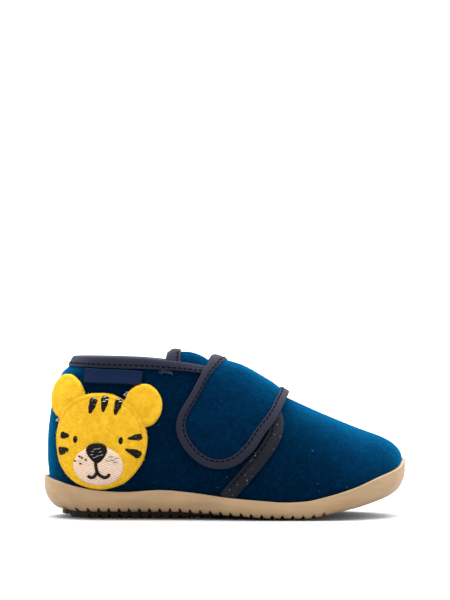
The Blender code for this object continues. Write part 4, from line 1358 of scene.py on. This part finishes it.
def disc_piece(heel, name, middle, halves, face, finish, node):
    """A felt disc sewn on the heel: face gives its height by share, across and up."""
    rings = len(DISC_SHARES)

    def place(i, j):
        angle = 2 * math.pi * i / DISC_SPOKES
        share = DISC_SHARES[min(j, rings - 1)] if j <= rings else 0.0
        ripple = 1 + 0.005 * math.sin(5 * angle + 1.0) + 0.004 * math.sin(11 * angle)
        reach = share * (1 + (ripple - 1) * share ** 6)
        across = middle[0] + halves[0] * reach * math.cos(angle)
        up = middle[1] + halves[1] * reach * math.sin(angle)
        lift = face(share, across, up) if j < rings else 0.05
        point, out = heel.at(across, up)
        return point + out * lift

    piece, _, _ = grid_piece(name, DISC_SPOKES, rings + 1, place, True)
    return dressed(closed_up(piece), finish, "felt_yellow", node)


def build_head(heel, finish):
    """Head with an ear on each side; where an ear joins it the rim stays level instead of rolling down."""
    def face(share, across, up):
        rim = 1.0
        for middle, halves in EARS.values():
            inside = 1 - math.hypot((across - middle[0]) / halves[0], (up - middle[1]) / halves[1])
            rim = min(rim, 1 - 0.85 * smooth(inside / 0.12 + 0.5))
        return head_face(share, rim)

    def ear_face(share, across, up):
        height = PATCH_FELT + EAR_DOME * (1 - share * share) - EAR_ROLL * rolled(share, EAR_ROLL_FROM)
        height -= EAR_HOLLOW * math.exp(-((share - 0.5) / 0.22) ** 2)
        inner = math.hypot(across, up) / HEAD_RADIUS
        under = smooth((1.05 - inner) / 0.07)
        return height * (1 - under) + (head_face(min(1.0, inner), 0.15) - 0.3) * under

    head = disc_piece(heel, "felt_head", (0.0, 0.0), (HEAD_RADIUS, HEAD_RADIUS), face, finish, "tiger_head")
    ears = [disc_piece(heel, "felt_" + node, middle, halves, ear_face, finish, node)
            for node, (middle, halves) in EARS.items()]
    return head, ears


def patch_piece(heel, name, shape, lift, swell, turn, finish, slot, *nodes):
    """A satin-stitched shape on the head: rings from its middle to its outline, domed a little."""
    outline_at, middle = shape
    rings = len(PATCH_SHARES)
    flat = {}

    def place(i, j):
        x, y = outline_at(2 * math.pi * i / PATCH_SPOKES)
        share = PATCH_SHARES[min(j, rings - 1)]
        across = middle[0] + (x - middle[0]) * share
        up = middle[1] + (y - middle[1]) * share
        flat[(i, j)] = (across, up)
        height = lift + swell * (1 - share ** 4)
        if j == rings:
            height = lift - PATCH_SINK
        return head_point(heel, across, up, height)[0]

    piece, column, row = grid_piece(name, PATCH_SPOKES, rings, place, True)
    run = np.array([flat[(int(i) % PATCH_SPOKES, int(j))] for i, j in zip(column, row)])
    lay_values(piece, run[:, 0] * math.cos(turn) + run[:, 1] * math.sin(turn))
    return dressed(closed_up(piece), finish, slot, *nodes)


def wedge(thick_end, thin_end, thick, thin):
    """Outline of a rounded wedge between two ends."""
    first = np.array(thick_end)
    second = np.array(thin_end)
    axis = unit(second - first)
    side = np.array((-axis[1], axis[0]))
    middle = (first + second) / 2
    length = np.linalg.norm(second - first) / 2

    def at(angle):
        along = math.copysign(abs(math.cos(angle)) ** 0.8, math.cos(angle))
        fray = 1 + 0.07 * math.sin(7 * angle + first[0]) + 0.05 * math.sin(13 * angle + first[1])
        half = fray * (thick * (1 - along) + thin * (1 + along)) / 4
        bow = math.copysign(abs(math.sin(angle)) ** 0.6, math.sin(angle))
        return middle + axis * along * length + side * bow * half
    return at, middle


def oval(middle, wide, tall, turn):
    """Outline of an oval turned about its middle."""
    def at(angle):
        x = wide * math.cos(angle)
        y = tall * math.sin(angle)
        return np.array((middle[0] + x * math.cos(turn) - y * math.sin(turn),
                         middle[1] + x * math.sin(turn) + y * math.cos(turn)))
    return at, np.array(middle)


def nose_outline(middle, wide, tall):
    """Broad at the top with rounded corners, drawn in to a blunt point below."""
    def at(angle):
        x = math.copysign(abs(math.cos(angle)) ** 0.72, math.cos(angle))
        y = math.copysign(abs(math.sin(angle)) ** 0.72, math.sin(angle))
        narrow = 0.42 + 0.58 * min(1.0, (y + 1) / 1.15) ** 0.9
        return np.array((middle[0] + wide * x * narrow, middle[1] + tall * y))
    return at, np.array(middle)


def head_cord(heel, points, lift, pitch):
    """Stitches along a line drawn on the head."""
    fine = []
    for i in range(len(points) - 1):
        for k in range(6):
            part = k / 6
            fine.append((points[i][0] + (points[i + 1][0] - points[i][0]) * part,
                         points[i][1] + (points[i + 1][1] - points[i][1]) * part))
    fine.append(points[-1])
    laid = [head_point(heel, x, y, lift) for x, y in fine]
    return spaced(laid, pitch)


def finishes():
    """Every finish, by the short name that the builders use."""
    return {
        # the blue felt takes painted shade from its UV, up to 0.52
        "blue": felt_finish("blue_felt", (0.0002, 0.0027, 0.011), (0.0003, 0.0060, 0.023),
                            (0.0006, 0.0128, 0.043), (0.010, 0.44, 0.98), 0.34, 0.52),
        "lining": felt_finish("lining_felt", (0.006, 0.030, 0.070), (0.010, 0.045, 0.100),
                              (0.016, 0.065, 0.140), (0.1, 0.4, 0.8), 0.3),
        "yellow": felt_finish("yellow_felt", (0.39, 0.207, 0.007), (0.50, 0.284, 0.012),
                              (0.61, 0.366, 0.027), (1.0, 0.8, 0.25), 0.2),
        "slate": tape_finish("slate_tape", (0.0042, 0.0048, 0.0097), (0.0158, 0.0172, 0.0328)),
        # the slate tape painted darker for the front tapes: painted shade from the strap above them
        "slate_in_painted_shade": tape_finish("deep_slate_tape", (0.0025, 0.0029, 0.0052), (0.0094, 0.0108, 0.0178)),
        "gum": gum_finish(),
        "ribbon": ribbon_finish(),
        "black": thread_finish("black_thread", (0.0015, 0.0015, 0.0015), (0.009, 0.008, 0.007), 0.06),
        "pale": thread_finish("pale_thread", (0.29, 0.185, 0.123), (0.72, 0.56, 0.45), 0.12),
        "seam": yarn_finish("seam_thread", (0.002, 0.002, 0.004), (0.006, 0.006, 0.010)),
        "blue_fibre": yarn_finish("blue_fibre", (0.0003, 0.012, 0.042), (0.001, 0.038, 0.105)),
        "yellow_fibre": yarn_finish("yellow_fibre", (0.48, 0.26, 0.009), (0.72, 0.45, 0.045)),
        "yellow_seam": yarn_finish("yellow_seam", (0.36, 0.18, 0.006), (0.50, 0.27, 0.012)),
        "lint": yarn_finish("lint", (0.10, 0.15, 0.20), (0.26, 0.30, 0.34)),
        "white": yarn_finish("white_thread", (0.50, 0.46, 0.44), (0.74, 0.72, 0.70)),
        "grey": yarn_finish("grey_thread", (0.26, 0.24, 0.22), (0.44, 0.41, 0.39)),
        "brown": yarn_finish("brown_thread", (0.10, 0.08, 0.06), (0.20, 0.16, 0.13)),
    }


def build_felts(looks):
    """Upper, tongue, strap, insole and tab, rounded from their solids and bent to their soft form."""
    upper = soft_copy("upper", "felt_upper", FELT_EDGE)
    creased(upper, UPPER_CREASES)
    places = moved(upper, nudged)
    # painted shade of the upper's felt, laid into its UV
    lay_values(upper, np.array([painted_felt_shade(x, z) for x, _, z in places]))
    dressed(upper, looks["blue"], "felt_blue", "upper")
    tongue = dressed(soft_copy("tongue", "felt_tongue", FELT_EDGE), looks["blue"], "felt_blue", "tongue")
    strap = soft_copy("strap", "felt_strap", FELT_EDGE)
    creased(strap, STRAP_CREASES + STRAP_HUMP)
    moved(strap, strap_drawn)
    # painted shade over the whole strap
    lay_values(strap, np.full(len(strap.data.vertices), STRAP_PAINTED_SHADE))
    dressed(strap, looks["blue"], "felt_blue", "strap")
    dressed(soft_copy("insole", "felt_insole", FELT_EDGE), looks["lining"], "felt_lining", "insole")
    label = soft_copy("label_tab", "ribbon_tab", 1.0)
    moved(label, hung)
    dressed(label, looks["ribbon"], "ribbon_navy", "label_tab")
    return upper, tongue, strap, label


def collar_paths():
    """The collar's rim, and the seams on its tape outside and inside as places and ways out."""
    lines = [i / 2 for i in range(2 * COLLAR_LAST_LINE + 1)]
    rim, seam, lining = [], [], []
    for line, side in [(line, -1) for line in reversed(lines)] + [(line, 1) for line in lines[1:]]:
        top = rim_arc(line)
        lower = top - ARC_STEP
        fall = felt_surface(line_station(line, top), top) - felt_surface(line_station(line, lower), lower)
        arc = top - COLLAR_TAPE * COLLAR_SEAM_AT * ARC_STEP / np.linalg.norm(fall)
        skin, out = felt_at(line_station(line, arc), mirrored(arc, side))
        rim.append(felt_surface(line_station(line, top), mirrored(top, side)))
        seam.append((skin + out * (quarter_lift(skin) + SEAM_LIFT), out))
        lining.append((skin - out * (WALL + SEAM_LIFT), -out))
    return rim, seam, lining


def front_tape(node, side):
    """Tape on a quarter's front edge, its foot pulled in behind the sole's lip, and the seam on it."""
    path, seam = [], []
    for i in range(FRONT_STEPS + 1):
        arc = FRONT_TAPE_LOW + (FRONT_TAPE_TOP - FRONT_TAPE_LOW) * i / FRONT_STEPS
        station = edge_station(arc)
        place = mirrored(arc, side)
        skin, normal = felt_at(station, place)
        ahead = felt_surface(edge_station(arc + ARC_STEP), mirrored(arc + ARC_STEP, side))
        back = turned(unit(np.cross(normal, unit(ahead - skin))), 0, -1)
        path.append(skin)
        point, out = felt_at(*walk(station, place, back * FRONT_TAPE * FRONT_SEAM_AT, 2))
        if point[2] > SOLE_LIP.at("height", point[0]) + FRONT_SEAM_CLEAR:
            seam.append((point + out * (quarter_lift(point) + SEAM_LIFT), out))
    tape = soft_copy(node, node.replace("binding", "tape"), TAPE_EDGE)
    lay_run(tape, path, False)
    moved(tape, pulled_in)
    return tape, seam


def build_tapes(looks, tongue):
    """Tapes over the edges, their weave laid along their run, and the stitches on them."""
    rim, collar_seam, lining_seam = collar_paths()
    collar = soft_copy("collar_binding", "collar_tape", TAPE_EDGE)
    lay_run(collar, rim, False)
    moved(collar, narrowed)
    dressed(collar, looks["slate"], "tape_slate", "collar_binding")
    seams = spaced(collar_seam, SEAM_PITCH, bend=narrowed)
    seams += spaced(lining_seam, SEAM_PITCH, bend=narrowed)

    outline = strap_outline()
    strap_edge = [felt_surface(s, a) + felt_normal(s, a) * (strap_lift(a) + 1.5) for s, a, _ in outline]
    strap_tape = soft_copy("strap_binding", "strap_tape", STRAP_TAPE_EDGE)
    lay_run(strap_tape, strap_edge, True)
    creased(strap_tape, STRAP_HUMP)
    moved(strap_tape, strap_drawn)
    dressed(strap_tape, looks["slate"], "tape_slate", "strap_binding")
    strap_seam = []
    for station, arc, inward in outline:
        station, arc = walk(station, arc, inward * STRAP_TAPE * STRAP_SEAM_AT, 3)
        skin, out = felt_at(station, arc)
        place = skin + out * (strap_lift(arc) + STRAP_EDGE_FELT + SEAM_LIFT)
        strap_seam.append((place - out * crease_depth(place[None], STRAP_HUMP)[0], out))
    seams += spaced(strap_seam, SEAM_PITCH, True, strap_drawn)

    fronts = []
    for node, side in (("front_binding_lateral", -1), ("front_binding_medial", 1)):
        tape, seam = front_tape(node, side)
        # front tapes take the darker slate: painted shade
        fronts.append(dressed(tape, looks["slate_in_painted_shade"], "tape_slate", node))
        seams += spaced(seam, SEAM_PITCH)

    tongue_tape = soft_copy("tongue_binding", "tongue_tape", TONGUE_TAPE_EDGE)
    lay_run(tongue_tape, [tongue_point(TONGUE_REAR, 40.0 + 2.5 * i, 0.0)[0] for i in range(41)], False)
    for piece in (tongue, tongue_tape):
        moved(piece, tongue_bent)
    dressed(tongue_tape, looks["slate"], "tape_slate", "tongue_binding")
    for first in TONGUE_SEAM_FROM:
        laid = [tongue_point(TONGUE_REAR + TONGUE_TAPE * TONGUE_SEAM_AT, first + 38.0 * i / 16, SEAM_LIFT)
                for i in range(17)]
        seams += spaced(laid, SEAM_PITCH, bend=tongue_bent)
    sew("tape_stitches", seams, (1.9, 0.85, 0.16), looks["seam"], "tape_slate", SEAM_UNEVEN)
    return collar, strap_tape, fronts, tongue_tape


def build_face(looks, heel):
    """Head and ears sewn on the heel, with the embroidery of the face."""
    black = looks["black"]
    head, ears = build_head(heel, looks["yellow"])
    reach = HEAD_RADIUS * FURROW_AT
    ring = [head_point(heel, reach * math.cos(angle), reach * math.sin(angle), 0.03)
            for angle in np.linspace(0, 2 * math.pi, 90, endpoint=False)]
    sew("head_stitches", spaced(ring, 1.9, True), (1.4, 0.38, 0.24), looks["yellow_seam"], "felt_yellow")
    muzzle = patch_piece(heel, "muzzle_patch", oval((0.1, -10.9), 11.0, 8.7, -0.06), 0.2, 0.75,
                         math.radians(66.0), looks["pale"], "thread_pale", "muzzle")
    for name, thick_end, thin_end, thick, thin in STRIPES:
        slope = math.atan2(thin_end[1] - thick_end[1], thin_end[0] - thick_end[0])
        patch_piece(heel, name, wedge(thick_end, thin_end, thick, thin), 0.05, 0.3, slope, black, None)
    for name, spot in (("eye_back", (-10.1, 0.8)), ("eye_front", (9.9, 0.3))):
        patch_piece(heel, name, oval(spot, 1.0, 1.6, -0.1), 0.05, 0.35, 0.0, black, None)
    patch_piece(heel, "nose_patch", nose_outline((-0.7, -5.2), 4.7, 4.4), 0.95, 0.45, 0.5, black, None)
    mouth = []
    for lift, points in MOUTH:
        mouth += head_cord(heel, points, lift, MOUTH_PITCH)
    sew("mouth_stitches", mouth, (1.6, 1.6, 0.75), black, None)
    for name, finish, lift, slope, size, spots in LOOSE_THREADS:
        laid = [head_point(heel, x, y, lift) for x, y in spots]
        dashes = [(place, np.array((1.0, 0.0, slope)), out) for place, out in laid]
        sew(name, dashes, size, looks[finish], None)
    return head, ears, muzzle


def build_tufts(looks, heel):
    """Loose threads above the ears and a wisp of lint below the collar."""
    tufts = []
    for x, y in EAR_TUFT_SPOTS:
        place, out = head_point(heel, x, y, 0.2)
        for across, up, turn in EAR_TUFT:
            way = np.array((math.cos(turn), -0.25, math.sin(turn)))
            tufts.append((place + np.array((across, 0.0, up)), way, out))
    sew("ear_tufts", tufts, (1.2, 0.22, 0.4), looks["white"], None)
    spot, out = felt_at(*place_at(*LINT_SPOT))
    strands = []
    for across, up, turn in LINT_STRANDS:
        way = np.array((math.cos(turn), 0.0, 0.6 * math.sin(turn)))
        strands.append((spot + out * (quarter_lift(spot) + 0.25) + np.array((across, 0.0, up)), way, out))
    sew("lint_tuft", strands, (1.5, 0.1, 0.25), looks["lint"], None)


def main():
    looks = finishes()
    sole = build_sole(looks["gum"])
    upper, tongue, strap, label = build_felts(looks)
    collar, strap_tape, fronts, tongue_tape = build_tapes(looks, tongue)
    heel = HeelMap()
    head, ears, muzzle = build_face(looks, heel)
    build_tufts(looks, heel)

    blue = looks["blue_fibre"]
    yellow = looks["yellow_fibre"]
    cover = cover_of(strap, strap_tape, collar, *fronts, head, *ears, label, sole)
    nap("upper_nap", upper, 26000, 3, 1.7, BLUE_FIBRE, cover, blue, "felt_blue")
    nap("strap_nap", strap, 9000, 5, 1.6, BLUE_FIBRE, cover_of(strap_tape), blue, "felt_blue")
    tongue_cover = cover_of(strap, strap_tape, collar, tongue_tape, upper)
    nap("tongue_nap", tongue, 2600, 7, 1.6, BLUE_FIBRE, tongue_cover, blue, "felt_blue", False)
    nap("head_nap", head, 7000, 11, 1.3, YELLOW_FIBRE, cover_of(muzzle), yellow, "felt_yellow")
    for seed, ear in zip((13, 17), ears):
        nap(ear.name + "_nap", ear, 1900, seed, 1.3, YELLOW_FIBRE, None, yellow, "felt_yellow")
    nap("lint_specks", upper, 110, 19, 0.8, 0.08, cover, looks["lint"], None)
    nap("tape_lint", fronts[0], 70, 23, 0.55, 0.11, None, looks["white"], None)


def far_light(name, comes_from, spread, strength):
    """A light from far off, softened by its spread in degrees."""
    lamp = bpy.data.lights.new(name, "SUN")
    lamp.energy = strength
    lamp.angle = math.radians(spread)
    holder = bpy.data.objects.new(name, lamp)
    holder.rotation_euler = Vector(comes_from).to_track_quat("Z", "Y").to_euler()
    bpy.context.scene.collection.objects.link(holder)


main()

bpy.ops.object.select_all(action="DESELECT")
bpy.ops.mesh.primitive_plane_add(size=FLOOR_SIZE, location=(0.0, 0.0, 0.0))
floor = bpy.context.active_object
floor.name = "floor"
floor_paint = Paint("pale_floor", Roughness=0.9, Specular_IOR_Level=0.1)
floor_paint.color((FLOOR_GREY, FLOOR_GREY, FLOOR_GREY, 1.0))
floor.data.materials.append(floor_paint.material)

world = bpy.data.worlds.new("studio")
bpy.context.scene.world = world
world.use_nodes = True
world.node_tree.nodes["Background"].inputs["Color"].default_value = (1.0, 1.0, 1.0, 1.0)
world.node_tree.nodes["Background"].inputs["Strength"].default_value = WORLD_LIGHT

far_light("key", (0.0, 0.26, 0.97), 74.0, 10.0)
far_light("toe", (0.9, 0.1, 0.5), 50.0, 2.3)
far_light("heel", (-0.9, 0.0, 0.5), 50.0, 0.9)
far_light("fill", (-0.3, -0.9, 0.28), 60.0, 0.75)

lens = bpy.data.cameras.new("camera")
lens.lens = CAMERA_LENS
lens.sensor_width = CAMERA_SENSOR
camera = bpy.data.objects.new("camera", lens)
camera.location = CAMERA_PLACE
camera.rotation_euler = (math.pi / 2, 0.0, 0.0)
bpy.context.scene.collection.objects.link(camera)
bpy.context.scene.camera = camera
bpy.context.scene.view_settings.view_transform = "Standard"
